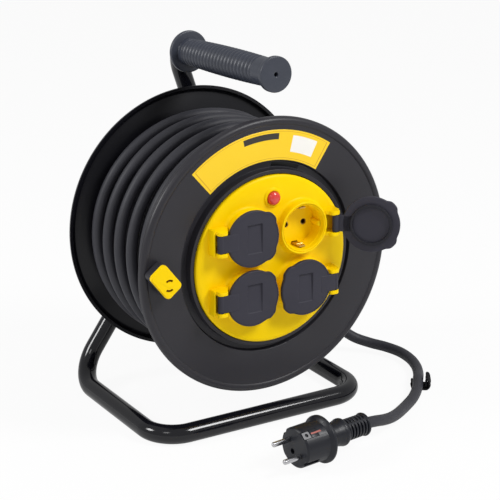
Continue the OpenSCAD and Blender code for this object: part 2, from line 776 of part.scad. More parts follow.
module reset_button() color("red") reel() at(0, button_height) {
    turned() polygon(concat(
        [[0, lip_back], [button_r + 0.9, lip_back], [button_r + 0.9, lip_front],
         [button_r, lip_front]],
        [for (a = [0:15:90]) [button_r * cos(a), button_y + 3.4 - 3.4 * sin(a)]]
    ));
}

module hinge_pins() color("silver") at_hinges()
    translate([0, 0, -knuckle_len / 2 - ear_gap - ear_t + 0.1])
    cylinder(r = hinge_pin_r, h = knuckle_len + 2 * ear_gap + 2 * ear_t - 0.2);

// ---- Flaps: drawn shut, from the hinge towards the socket ----
module at_flap(sx, sz, angle) reel() at(sx * hinge_x, sz * socket_x)
    translate([0, hinge_y, 0]) mirror([sx > 0 ? 1 : 0, 0, 0])
    rotate([0, 0, -angle]) children();

module flap() {
    front = flap_front - hinge_y;
    back = flap_back - hinge_y;
    color("dimgray") difference() {
        union() {
            at(hinge_reach, 0) translate([0, front, 0]) {
                turned() polygon([
                    [0, 0], [flap_r - 1, 0], [flap_r, 1], [flap_r, flap_t], [0, flap_t]
                ]);
                for (s = [-1, 1]) at(lug_reach * cos(45), s * lug_reach * sin(45))
                    round_bar(lug_r, 0, flap_t);
            }
            cylinder(r = knuckle_r, h = knuckle_len, center = true);
            box(0, hinge_reach - 15, front, back, -knuckle_len / 2, knuckle_len / 2);
        }
        cylinder(r = hinge_pin_r + pin_fit, h = knuckle_len + 2, center = true);
        at(hinge_reach + 1, 0) translate([-pocket_w / 2, front, -pocket_h / 2])
            rotate([-4, 0, 0]) translate([0, -3, 0]) cube([pocket_w, 3.2, pocket_h]);
        at(hinge_reach, 0) ring(seal_r + 0.05, seal_r - seal_w - 0.05, back - 1.2, back + 1);
    }
}

module seal() color("black") at(hinge_reach, 0)
    ring(seal_r, seal_r - seal_w, flap_back - hinge_y - 1.1, flap_back - hinge_y + 2.7);

// ---- Slip rings ----
module slip_ring_carrier() color("ivory") reel() difference() {
    round_bar(carrier_r, carrier_y, carrier_y + carrier_l);
    round_bar(axle_r + pin_fit, carrier_y - 1, carrier_y + carrier_l + 1);
}

module slip_rings() color("goldenrod") reel() for (y = slip_ys)
    ring(slip_ring_r, carrier_r + pin_fit, y - slip_w / 2, y + slip_w / 2);

// ---- Drum ----
function arc_points(x, y, r, from, to) =
    [for (i = [0:8]) let (a = from + (to - from) * i / 8) [x + r * cos(a), y + r * sin(a)]];

module front_flange() {
    color("black") reel() difference() {
        turned() polygon(concat(
            [[collar_in, collar_y + 0.6], [collar_in + 0.6, collar_y], [barrel_r - 0.6, collar_y],
             [barrel_r, collar_y + 0.6], [barrel_r + 0.3, valley_y], [valley_r, valley_y],
             [valley_r + 1, face_y], [bead_mid - 2.6, face_y]],
            arc_points(bead_mid, bead_y, bead_r, -100, 0),
            [[flange_r, 0], [flange_r - flange_wall, 0]],
            arc_points(bead_mid, bead_y, bead_r - flange_wall, 0, -90),
            [[bead_mid - 2, inner_front], [valley_r + 3, inner_front], [valley_r + 1.5, barrel_front],
             [barrel_in - fit_gap, barrel_front], [barrel_in - fit_gap, barrel_front + 6],
             [collar_in, barrel_front + 6]]
        ));
        at(knob_x, knob_z) round_bar(knob_pin_r + 0.02, face_y - 1, inner_front + 1);
        sector(valley_r - 1, barrel_r + 1.2, valley_y - 1, valley_y + 1.6, 68, 85);
    }
}

module rear_flange() {
    in_r = rim_r - flange_wall;
    color("black") reel() difference() {
        union() {
            turned() polygon(concat(
                [[hub_in, hub_front], [hub_out, hub_front], [hub_out, inner_back],
                 [rim_mid - 2, inner_back]],
                arc_points(rim_mid, rim_gap, in_r, 90, 0),
                arc_points(rim_mid, rim_gap, rim_r, 0, 90),
                [[rim_mid - 1, rear_face + rim_rise - 0.3], [rim_mid - 3, rear_face],
                 [hub_out, rear_face], [hub_out, hub_back], [hub_in, hub_back]]
            ));
            ring(86, 83, rear_face - 1, rear_face + 2.5);
            for (a = [30:60:330]) rotate([0, -a, 0])
                box(hub_out - 1, rim_mid - 6, rear_face - 1, rear_face + 2.5, -1.5, 1.5);
        }
        around([0:60:300], boss_ring) round_bar(screw_r + pin_fit, inner_back - 1, rear_face + 1);
    }
}

module drum_barrel() color("black") reel() {
    difference() {
        ring(barrel_r, barrel_in, barrel_front, inner_back);
        around([0:60:300], boss_ring) round_bar(screw_r + pin_fit, inner_back - 14, inner_back + 1);
    }
    around([0:60:300], boss_ring) ring(boss_r, screw_r + pin_fit, inner_back - boss_l, inner_back);
}

module flange_screws() color("silver") reel() around([0:60:300], boss_ring) {
    round_bar(screw_r, inner_back - 13, rear_face + 1);
    round_bar(screw_head_r, rear_face, rear_face + screw_head);
}

module hub_bushes() color("ivory") reel() {
    ring(bush_out, bush_in, hub_front, hub_front + bush_len);
    ring(bush_out, bush_in, hub_back - bush_len, hub_back);
}

module brush_holder() color("black") reel() difference() {
    union() {
        box(holder_x, holder_x + holder_l, carrier_y + 1, inner_back, -6, 6);
        box(holder_x, holder_x + holder_l + 8, inner_back - 3, inner_back, -10, 10);
    }
    for (y = slip_ys) translate([holder_x - 1, y, 0]) rotate([0, 90, 0])
        cylinder(r = brush_r + pin_fit, h = holder_l - 1);
}

module brushes() color("darkslategray") reel() for (y = slip_ys)
    translate([brush_x, y, 0]) rotate([0, 90, 0]) cylinder(r = brush_r, h = brush_l);

module brush_springs() color("silver") reel() for (y = slip_ys)
    translate([brush_x + brush_l, y, 0]) rotate([0, 90, 0]) difference() {
        cylinder(r = 2.8, h = holder_x + holder_l - 2 - brush_x - brush_l);
        translate([0, 0, -1]) cylinder(r = 2, h = holder_l);
    }

module flange_label() color("gold") reel()
    sector(rim_mid - 4, valley_r + 1.8, face_y - 0.25, face_y, 56, 131);

// ---- Winding knob ----
module at_knob() reel() at(knob_x, knob_z) children();
module knob_shape(y0, y1) rotate([0, -knob_turn, 0]) at(knob_offset, 0)
    upright(y0, y1) rounded(knob_l, knob_w, 4);

module knob_body() color("black") at_knob() difference() {
    union() {
        knob_shape(knob_split, face_y - rim_rise - 0.8);
        round_bar(knob_foot_r, knob_split + 1, knob_back);
    }
    round_bar(knob_pin_r + pin_fit, knob_split - 1, knob_back + 1);
    round_bar(knob_head_r + 0.4, knob_split - 1, knob_split + knob_head + 0.8);
}

module knob_cap() color("gold") at_knob() difference() {
    union() {
        knob_shape(knob_front + 0.8, knob_split);
        rotate([0, -knob_turn, 0]) at(knob_offset, 0) upright(knob_front, knob_front + 1)
            rounded(knob_l - 1.6, knob_w - 1.6, 3.6);
    }
    for (a = [90, 270]) sector(5.6, 3.9, knob_front - 1, knob_front + 1.6, a - 38, a + 38);
}

module knob_pin() color("silver") at_knob() {
    round_bar(knob_pin_r, knob_split + 1, inner_front + 1);
    round_bar(knob_head_r, knob_split + 0.4, knob_split + 0.4 + knob_head);
    round_bar(knob_head_r, inner_front, inner_front + knob_head);
}

// ---- Cable: the inner layers are one solid with a rounded ridge for every turn ----
notch_from = loop_angle(climb * 1.15) - floor(loops) * 360;
notch_to = loop_angle(0) - floor(loops) * 360 + asin(cable_d / notch_r);
module cable_core() color([0.12, 0.12, 0.13]) reel() difference() {
    turned() polygon(concat(
        [[barrel_r + fit_gap, barrel_front + 0.5], [core_mid + 1.4, barrel_front + 0.5]],
        [for (i = [0:inner_turns - 1]) for (a = [-75:30:75])
            [core_mid + cable_r * cos(a), inner_first + inner_pitch * i + cable_r * sin(a)]],
        [[core_mid + 1.4, inner_back - 0.5], [barrel_r + fit_gap, inner_back - 0.5]]
    ));
    sector(core_r + 1, notch_r - cable_r - 0.4, first_loop_y - cable_r - 3,
        first_loop_y + cable_r + 3, notch_from - 1, notch_to + 1);
}

module cable_winding() color([0.22, 0.22, 0.23]) reel()
    swept(wound_path, wound_ways, [0, 1, 0], cable_r, 6);

module free_cord() color([0.22, 0.22, 0.23])
    swept(cord_path, cord_ways, [0.5, -0.2, 1], cable_r, 10);

module cord_tie() {
    side = unit(cross([0, 0, 1], tie_way));
    color("black") place(cord_points[tie_at], side, cross(tie_way, side)) {
        translate([-cable_r - 3, tie_low, -tie_l / 2]) cube([2 * cable_r + 11, tie_t, tie_l]);
        translate([cable_r + 8, tie_low + 0.05, -tie_l / 2]) rotate([0, 0, 125])
            translate([0, -tie_t, 0]) cube([10.5, tie_t, tie_l]);
    }
}

// ---- Plug: drawn along its axis from its face ----
module at_plug() translate(plug_face) rotate([0, 90, plug_heading]) rotate(plug_roll) children();

module plug_body() {
    r = plug_d / 2;
    cr = plug_collar_d / 2;
    color("black") at_plug() difference() {
        rotate_extrude() polygon([
            [0, 0], [r - 1.5, 0], [r, 1.5], [r, plug_body_l - 3], [cr - 1, plug_body_l - 1],
            [cr, plug_body_l + 0.2], [cr, plug_body_l + 2], [cr - 1.5, plug_body_l + 3.4],
            [r - 0.5, boot_start], [0, boot_start]
        ]);
        for (y = [-1, 1]) translate([0, y * pin_pitch / 2, -1]) cylinder(r = pin_root_r + 0.02, h = 13);
        for (x = [-1, 1]) translate([x * (r - 0.7) - 1.5, -4, -1]) cube([3, 8, 18]);
        for (y = [-1, 1]) translate([-2.6, y * (r - 0.4) - 1.6, -1]) cube([5.2, 3.2, 16]);
        translate([5, 0, -1]) cylinder(r = 2.6, h = 12);
    }
}

module plug_boot() {
    rib = (plug_boot_l - 26) / 6;
    color("black") at_plug() difference() {
        rotate_extrude() polygon(concat(
            [[0, boot_start], [13.6, boot_start], [11.6, boot_start + 2],
             [10.9, boot_start + 6], [11.3, boot_start + 12], [12.4, boot_start + 17],
             [13, boot_start + 18.5], [13, boot_start + 20.6], [12, boot_start + 22]],
            [for (i = [0:5]) let (h = boot_start + 23 + i * rib) each
                [[8.6, h], [10, h + 0.5], [10, h + rib - 1.6], [8.6, h + rib - 1.1]]],
            [[11, boot_end - 2.6], [11, boot_end - 0.6], [10.4, boot_end], [0, boot_end]]
        ));
        translate([0, 0, boot_end - boot_bore]) cylinder(r = cable_r + fit_gap, h = boot_bore + 1);
    }
}

module plug_pins() color("silver") at_plug() for (y = [-1, 1])
    translate([0, y * pin_pitch / 2, 0]) {
        translate([0, 0, -1]) cylinder(r = pin_root_r, h = 11);
        translate([0, 0, -pin_len + 1]) cylinder(r = plug_pin_r, h = pin_len - 1.6);
        translate([0, 0, -pin_len]) cylinder(r1 = plug_pin_r - 0.9, r2 = plug_pin_r, h = 1, $fn = 48);
    }

module plug_earth_strips() color("silver") at_plug() for (x = [-1, 1]) difference() {
    translate([x * (plug_d / 2 - 1.5) - 0.6, -3.5, 0.6]) cube([1.2, 7, 16]);
    translate([x * (plug_d / 2 - 1.5) - 2, 0, 6]) rotate([0, 90, 0]) cylinder(r = 1.4, h = 4);
}

// ---- Pieces ----
base_tube();
handle_tube();
handle_grip();
joint_screw();
hub_plate();
plate_bolts();
plate_nuts();
axle();
axle_bolt();
retaining_ring();
thrust_washers();
axle_screw();
socket_panel();
socket_inserts();
socket_housing();
housing_screws();
contact_sleeves();
earth_clips();
live_busbar();
neutral_busbar();
earth_busbar();
thermal_cutout();
button_spring();
reset_button();
hinge_pins();
at_flap(-1, 1, 0) flap();  // flap_tl
at_flap(1, 1, open_angle) flap();  // flap_tr
at_flap(-1, -1, 0) flap();  // flap_bl
at_flap(1, -1, 0) flap();  // flap_br
at_flap(-1, 1, 0) seal();  // seal_tl
at_flap(1, 1, open_angle) seal();  // seal_tr
at_flap(-1, -1, 0) seal();  // seal_bl
at_flap(1, -1, 0) seal();  // seal_br
slip_ring_carrier();
slip_rings();
front_flange();
rear_flange();
drum_barrel();
flange_screws();
hub_bushes();
brush_holder();
brushes();
brush_springs();
flange_label();
knob_pin();
knob_body();
knob_cap();
cable_core();
cable_winding();
free_cord();
cord_tie();
plug_body();
plug_boot();
plug_pins();
plug_earth_strips();
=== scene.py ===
import math

import bmesh
import bpy
import numpy as np
from mathutils import Matrix, Vector, geometry


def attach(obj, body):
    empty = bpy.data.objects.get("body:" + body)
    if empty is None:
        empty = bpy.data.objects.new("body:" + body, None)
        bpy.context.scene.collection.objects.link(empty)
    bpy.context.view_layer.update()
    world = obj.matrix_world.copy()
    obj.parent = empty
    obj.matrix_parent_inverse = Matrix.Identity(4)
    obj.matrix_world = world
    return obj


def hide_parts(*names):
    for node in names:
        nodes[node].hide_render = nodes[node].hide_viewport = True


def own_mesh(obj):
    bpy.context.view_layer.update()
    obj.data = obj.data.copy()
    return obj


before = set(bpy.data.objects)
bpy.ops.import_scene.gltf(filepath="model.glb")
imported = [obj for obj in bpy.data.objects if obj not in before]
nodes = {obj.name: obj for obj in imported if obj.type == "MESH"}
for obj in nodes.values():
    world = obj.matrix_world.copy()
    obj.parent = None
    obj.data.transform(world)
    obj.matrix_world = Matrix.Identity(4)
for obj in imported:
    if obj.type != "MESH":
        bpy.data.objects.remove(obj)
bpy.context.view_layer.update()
reel = {"frontY": -62.245626, "axleZ": 166.5, "cable": 10.5}  # millimetres in the frame
print("frame loaded:", len(nodes), "pieces")


def addObject(name, data):
    thing = bpy.data.objects.new(name, data)
    bpy.context.scene.collection.objects.link(thing)
    return thing


view = {
    "lens": 126, "sensor": 36, "clipEnd": 30,
    "right": (0.8554, -0.5180, 0.0), "up": (0.1665, 0.2749, 0.9469), "back": (-0.4905, -0.8100, 0.3214),
    "place": (-0.7925, -1.34563, 0.6835),
}
optics = bpy.data.cameras.new("camera")
optics.lens = view["lens"]
optics.sensor_width = view["sensor"]
optics.clip_end = view["clipEnd"]
camera = addObject("camera", optics)
columns = [view[way] + (0,) for way in ("right", "up", "back")] + [view["place"] + (1,)]
camera.matrix_world = Matrix(columns).transposed()
bpy.context.scene.camera = camera


# Frame millimetres from reel millimetres, whose origin is on the axle at the front rim's edge
def fromReel(points):
    return np.asarray(points, float) + [0, reel["frontY"], reel["axleZ"]]


def onReel(shapes):
    return [(fromReel(verts), faces) for verts, faces in shapes]


def unit(v):  # v / |v|
    v = np.asarray(v, float)
    return v / np.linalg.norm(v, axis=-1, keepdims=True)


def ease(t):  # 3t2 - 2t3 between 0 and 1
    t = np.clip(t, 0, 1)
    return t * t * (3 - 2 * t)


def roundTurns(count):  # 2 pi k / count
    return np.arange(count) * 2 * np.pi / count


# The four corners of every square between rings of points, the last ring joined to the first one if closed
def gridFaces(rings, count, closed=False):
    i = np.arange(rings if closed else rings - 1)[:, None]
    j = np.arange(count)[None, :]
    a, b = i * count + j, i * count + (j + 1) % count
    c, d = (i + 1) % rings * count + (j + 1) % count, (i + 1) % rings * count + j
    return np.stack([a, b, c, d], -1).reshape(-1, 4).tolist()


def cappedFaces(rings, count):  # the same squares, and a flat face over the first and the last ring
    last = (rings - 1) * count
    return gridFaces(rings, count) + [list(range(count)), list(range(last, last + count))]


# Every corner c becomes the curve (1-t)2 a + 2t(1-t) c + t2 b, where a and b lie reach before and after it
def soften(points, reach, steps=4, closed=True):
    pts = np.asarray(points, float)
    before, after = np.roll(pts, 1, 0) - pts, np.roll(pts, -1, 0) - pts
    lb, la = np.linalg.norm(before, axis=1), np.linalg.norm(after, axis=1)
    cut = np.minimum(reach, np.minimum(lb, la) * 0.48)[:, None]  # two cuts leave a little of each side
    a, b = pts + before / lb[:, None] * cut, pts + after / la[:, None] * cut
    t = np.linspace(0, 1, steps)[None, :, None]
    curves = (1 - t) ** 2 * a[:, None] + 2 * t * (1 - t) * pts[:, None] + t * t * b[:, None]
    out = curves.reshape(-1, pts.shape[1])
    return out if closed else np.vstack([pts[:1], out[steps:-steps], pts[-1:]])


def arcPoints(x, y, radius, start, stop, count=14):  # (x + radius*cos, y + radius*sin) between two angles
    q = np.radians(np.linspace(start, stop, count))
    return np.stack([x + radius * np.cos(q), y + radius * np.sin(q)], 1)


def box(x0, x1, z0, z1):
    return np.array([(x0, z0), (x1, z0), (x1, z1), (x0, z1)], float)


def circleAt(x, z, radius, count=96):  # (x + radius*cos, z + radius*sin) all the way round
    q = roundTurns(count)
    return np.stack([x + radius * np.cos(q), z + radius * np.sin(q)], 1)


def ringPoints(radius, height, turn, x=0.0, z=0.0):  # (x + radius*cos, height, z + radius*sin)
    return np.stack(np.broadcast_arrays(x + radius * np.cos(turn), height, z + radius * np.sin(turn)), -1)


# A closed profile of (distance from the axis, height along it) turned: p = o + h*axis + r*(cos*u + sin*v)
def turned(profile, sides, origin=(0, 0, 0), axis=(0, 1, 0)):
    prof, axis = np.asarray(profile, float), unit(axis)
    u = unit(np.cross(axis, (0.0, 0.0, 1.0) if abs(axis[2]) < 0.9 else (1.0, 0.0, 0.0)))
    v = np.cross(axis, u)
    t = roundTurns(sides)
    ways = np.cos(t)[:, None] * u + np.sin(t)[:, None] * v
    verts = np.asarray(origin, float) + prof[:, None, 1:] * axis + prof[:, None, :1] * ways[None]
    return verts.reshape(-1, 3), gridFaces(len(prof), sides, True)


# An open profile turned about the point (x, z): it starts at +x and turns towards +z, as circleAt does
def turnedAt(profile, x, z, sides=96):
    prof = np.asarray(profile, float)
    verts = ringPoints(prof[:, :1], prof[:, 1:], roundTurns(sides), x, z)
    return verts.reshape(-1, 3), gridFaces(len(prof), sides)


# Sideways directions along a path, each one the last one made square to the way again
def carryFrames(path):
    ways = unit(np.gradient(path, axis=0))
    side = np.cross(ways[0], (0.3, 0.2, 0.93))  # any way that no path starts along
    sides = np.empty_like(path)
    for k, way in enumerate(ways):
        side = side - way * (side @ way)
        side /= np.linalg.norm(side)
        sides[k] = side
    return sides, np.cross(ways, sides)


# A round section carried along a path, closed at both ends: p = centre + r*(cos*u + sin*v)
def tube(path, radius, sides):
    path = np.asarray(path, float)
    u, v = carryFrames(path)
    r = np.broadcast_to(np.asarray(radius, float), len(path))
    centre = np.vstack([path[:1], path, path[-1:]])
    u, v = np.vstack([u[:1], u, u[-1:]]), np.vstack([v[:1], v, v[-1:]])
    r = np.concatenate([[0], r, [0]])[:, None, None]
    t = roundTurns(sides)[:, None]
    verts = centre[:, None] + r * (np.cos(t) * u[:, None] + np.sin(t) * v[:, None])
    return verts.reshape(-1, 3), gridFaces(len(centre), sides)


# A route of straight pieces with round bends: arc points centre + bend*(cos*back + sin*way) at every corner
def bentRoute(route, bends):
    route = np.asarray(route, float)
    out = [route[0]]
    for i in range(1, len(route) - 1):
        wayIn, wayOut = unit(route[i] - route[i - 1]), unit(route[i + 1] - route[i])
        turn = math.acos(float(wayIn @ wayOut))
        side = unit(wayOut - wayIn * (wayIn @ wayOut))
        start = route[i] - wayIn * bends[i] * math.tan(turn / 2)
        a = np.linspace(0, turn, max(6, int(math.degrees(turn) / 3)))[:, None]
        out.extend(start + side * bends[i] - side * bends[i] * np.cos(a) + wayIn * bends[i] * np.sin(a))
    out.append(route[-1])
    return np.array(out)


# An outline in x and z made a slab from y0 to y1: each ring lies inside the outline by edge*(1 - cos)
def slab(outline, y0, y1, edge, steps=4):
    flat = np.asarray(outline, float)
    way = unit(np.roll(flat, -1, 0) - np.roll(flat, 1, 0))
    area = np.sum(flat[:, 0] * np.roll(flat[:, 1], -1) - np.roll(flat[:, 0], -1) * flat[:, 1])
    inward = np.stack([-way[:, 1], way[:, 0]], 1) * np.sign(area)
    a = np.linspace(0, np.pi / 2, steps)
    insets = np.concatenate([edge * (1 - np.sin(a)), edge * (1 - np.cos(a))])
    ys = np.concatenate([y0 + edge * (1 - np.cos(a)), y1 - edge * (1 - np.sin(a))])
    rings = flat[None] + insets[:, None, None] * inward[None]
    verts = np.stack([rings[..., 0], np.broadcast_to(ys[:, None], rings.shape[:2]), rings[..., 1]], -1)
    return verts.reshape(-1, 3), cappedFaces(len(ys), len(flat))


# A flat face in x and z at one y: the triangles whose middles lie in the first loop and in no other
def pierced(loops, y):
    flat = np.vstack(loops)
    first = np.cumsum([0] + [len(loop) for loop in loops])
    edges = [(a + k, a + (k + 1) % (b - a)) for a, b in zip(first[:-1], first[1:]) for k in range(b - a)]
    points, _, tris = geometry.delaunay_2d_cdt([Vector(p) for p in flat], edges, [], 0, 1e-6)[:3]
    points, tris = np.array([p[:] for p in points]), np.array(tris)
    middle = points[tris].mean(1)[:, None]

    def inside(loop):  # a line from the point to the right meets the loop an odd number of times
        a, b = loop[None], np.roll(loop, -1, 0)[None]
        rise = b[..., 1] - a[..., 1]
        meet = a[..., 0] + (middle[..., 1] - a[..., 1]) * (b[..., 0] - a[..., 0]) / np.where(rise == 0, 1, rise)
        crossed = ((a[..., 1] > middle[..., 1]) != (b[..., 1] > middle[..., 1])) & (middle[..., 0] < meet)
        return crossed.sum(1) % 2 == 1

    keep = inside(loops[0]) & ~np.any([inside(loop) for loop in loops[1:]], axis=0)
    return np.stack([points[:, 0], np.full(len(points), y), points[:, 1]], 1), tris[keep].tolist()


finishes, slotNames = {}, {}
meshing = {"merge": 5e-7, "thin": 1e-7, "nodeMerge": 2e-6, "flat": 0.6, "edgeAngle": 32}  # metres and degrees


def camelName(node):
    first, *others = node.split("_")
    return first + "".join(word.title() for word in others)


def nodePoints(node):  # in millimetres
    return np.array([v.co[:] for v in nodes[node].data.vertices]) * 1000


# A new piece from shapes in frame millimetres: doubles merged, faces outwards, its place in its mesh
def makePiece(node, shapes, finish, body="stand", sharp=38, name=None):
    verts, faces, start = [], [], 0
    for v, f in shapes:
        verts.append(np.asarray(v) / 1000)
        faces.extend([[k + start for k in face] for face in f])
        start += len(v)
    mesh = bpy.data.meshes.new(name or camelName(node))
    mesh.from_pydata(np.vstack(verts).tolist(), [], faces)
    bm = bmesh.new()
    bm.from_mesh(mesh)
    bmesh.ops.remove_doubles(bm, verts=bm.verts, dist=meshing["merge"])
    bmesh.ops.dissolve_degenerate(bm, edges=bm.edges, dist=meshing["thin"])
    bmesh.ops.recalc_face_normals(bm, faces=bm.faces)
    bm.to_mesh(mesh)
    bm.free()
    return finishPiece(mesh, (node,) if node else (), finish, body, sharp)


def finishPiece(mesh, stands, finish, body, sharp):
    mesh.polygons.foreach_set("use_smooth", [True] * len(mesh.polygons))
    mesh.set_sharp_from_angle(angle=math.radians(sharp))
    mesh.materials.clear()
    mesh.materials.append(finishes[finish])
    piece = addObject(mesh.name, mesh)
    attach(piece, body)
    if stands:
        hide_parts(*stands)
    return piece


# A finer copy of a node: triangles merged into whole faces, then its edges rounded by a bevel in millimetres
def refined(node, finish, body="stand", bevel=0.35, segments=3):
    mesh = nodes[node].data.copy()
    mesh.name = camelName(node)
    bm = bmesh.new()
    bm.from_mesh(mesh)
    bmesh.ops.remove_doubles(bm, verts=bm.verts, dist=meshing["nodeMerge"])
    bmesh.ops.dissolve_limit(bm, angle_limit=math.radians(meshing["flat"]), verts=bm.verts, edges=bm.edges)
    bm.to_mesh(mesh)
    bm.free()
    piece = finishPiece(mesh, (node,), finish, body, meshing["edgeAngle"])
    edge = piece.modifiers.new("edges", "BEVEL")
    edge.width, edge.segments = bevel / 1000, segments
    edge.limit_method, edge.angle_limit = "ANGLE", math.radians(meshing["edgeAngle"])
    edge.harden_normals = True
    return piece


# Effects shared by the finishes
def newGroup(name, inputs, outputs):
    group = bpy.data.node_groups.new(name, "ShaderNodeTree")
    for label, kind, value in inputs:
        socket = group.interface.new_socket(label, in_out="INPUT", socket_type=kind)
        if value is not None:
            socket.default_value = value
    for label, kind in outputs:
        group.interface.new_socket(label, in_out="OUTPUT", socket_type=kind)
    return group, group.nodes.new("NodeGroupInput"), group.nodes.new("NodeGroupOutput")


def wire(tree, *links):  # each link is a node, its output, another node and its input
    for source, output, target, entry in links:
        tree.links.new(source.outputs[output], target.inputs[entry])


def setInputs(node, values):
    for key, value in values.items():
        node.inputs[key].default_value = value


def addNode(tree, kind, inputs=None, **settings):
    node = tree.nodes.new("ShaderNode" + kind)
    for key, value in settings.items():
        setattr(node, key, value)
    setInputs(node, inputs or {})
    return node


# The result of a maths node whose inputs are numbers or other results
def maths(tree, operation, *values, **settings):
    node = addNode(tree, "Math", operation=operation, **settings)
    for entry, value in zip(node.inputs, values):
        if isinstance(value, (int, float)):
            entry.default_value = value
        else:
            tree.links.new(value, entry)
    return node.outputs[0]


def buildGrain():  # colour and roughness that drift a little, with a fine moulded grain
    number, colour = "NodeSocketFloat", "NodeSocketColor"
    group, entry, result = newGroup("mouldedGrain", [
        ("Vector", "NodeSocketVector", None), ("Colour", colour, (0.5, 0.5, 0.5, 1)),
        ("Second", colour, (0.4, 0.4, 0.4, 1)), ("Roughness", number, 0.5), ("Spread", number, 0.1),
        ("Drift", number, 25.0), ("Grain", number, 900.0),
    ], [("Colour", colour), ("Roughness", number), ("Height", number)])
    drift = addNode(group, "TexNoise", {"Detail": 4})
    grain = addNode(group, "TexNoise", {"Detail": 3, "Roughness": 0.6})
    mixed = addNode(group, "Mix", data_type="RGBA")
    offset = maths(group, "SUBTRACT", drift.outputs["Fac"], 0.5)
    values = offset, entry.outputs["Spread"], entry.outputs["Roughness"]
    rough = maths(group, "MULTIPLY_ADD", *values, use_clamp=True)
    wire(
        group, (entry, "Vector", drift, "Vector"), (entry, "Vector", grain, "Vector"),
        (entry, "Drift", drift, "Scale"), (entry, "Grain", grain, "Scale"),
        (drift, "Fac", mixed, "Factor"), (entry, "Colour", mixed, "A"), (entry, "Second", mixed, "B"),
        (mixed, "Result", result, "Colour"), (grain, "Fac", result, "Height"),
    )
    group.links.new(rough, result.inputs["Roughness"])
    return group


def buildScuffs():  # thin pale marks of handling, long one way, where a stretched noise is at its highest
    number = "NodeSocketFloat"
    group, entry, result = newGroup("handlingMarks", [
        ("Vector", "NodeSocketVector", None), ("Scale", number, 40.0), ("Amount", number, 0.3),
    ], [("Mask", number)])
    stretch = addNode(group, "Mapping", {"Scale": (1.0, 1.0, 9.0), "Rotation": (0.5, 0.7, 0.2)})
    marks = addNode(group, "TexNoise", {"Detail": 5, "Distortion": 0.6})
    places = addNode(group, "TexNoise", {"Scale": 14})
    thin = addNode(group, "MapRange", {"From Min": 0.63, "From Max": 0.72})
    part = addNode(group, "MapRange", {"From Min": 0.48, "From Max": 0.62})
    both = maths(group, "MULTIPLY", thin.outputs["Result"], part.outputs["Result"])
    mask = maths(group, "MULTIPLY", both, entry.outputs["Amount"], use_clamp=True)
    wire(
        group, (entry, "Vector", stretch, "Vector"), (stretch, "Vector", marks, "Vector"),
        (entry, "Scale", marks, "Scale"), (entry, "Vector", places, "Vector"),
        (marks, "Fac", thin, "Value"), (places, "Fac", part, "Value"),
    )
    group.links.new(mask, result.inputs["Mask"])
    return group


grainGroup, scuffGroup = buildGrain(), buildScuffs()


def linear(rgb):  # 0 to 255 screen colour to linear light
    c = np.asarray(rgb, float) / 255
    return tuple(np.where(c <= 0.04045, c / 12.92, ((c + 0.055) / 1.055) ** 2.4)) + (1.0,)


usualLook = {"spread": 0.12, "drift": 25, "grain": 900, "bump": 0.15, "marks": 0.25, "metal": 0,
             "specular": 0.5, "coat": 0, "inside": 0}


# A finish: grain and handling marks feed colour, roughness and a fine bump; plain values sit on the shader
def newFinish(name, slotName, ownLook):
    look = {**usualLook, **ownLook}
    second = look.get("second", [c * 0.9 for c in look["colour"]])
    worn = look.get("worn", [min(255, c * 1.25 + 12) for c in look["colour"]])
    material = bpy.data.materials.new(name)
    material.use_nodes = True
    tree = material.node_tree
    shader = tree.nodes["Principled BSDF"]
    place = addNode(tree, "TexCoord")
    grain = addNode(tree, "Group", {
        "Colour": linear(look["colour"]), "Second": linear(second), "Roughness": look["rough"],
        "Spread": look["spread"], "Drift": look["drift"], "Grain": look["grain"],
    }, node_tree=grainGroup)
    marks = addNode(tree, "Group", {"Scale": 60, "Amount": look["marks"]}, node_tree=scuffGroup)
    mixed = addNode(tree, "Mix", {"B": linear(worn)}, data_type="RGBA")
    bump = addNode(tree, "Bump", {"Strength": look["bump"], "Distance": 0.0002})
    wire(
        tree, (place, "Object", grain, "Vector"), (place, "Object", marks, "Vector"),
        (grain, "Colour", mixed, "A"), (marks, "Mask", mixed, "Factor"),
        (mixed, "Result", shader, "Base Color"), (grain, "Roughness", shader, "Roughness"),
        (grain, "Height", bump, "Height"), (bump, "Normal", shader, "Normal"),
    )
    setInputs(shader, {
        "Metallic": look["metal"], "Specular IOR Level": look["specular"], "Coat Weight": look["coat"],
        "Coat Roughness": 0.08, "Subsurface Weight": look["inside"],
        "Subsurface Radius": (0.004, 0.002, 0.0006),
    })
    finishes[name], slotNames[name] = material, slotName


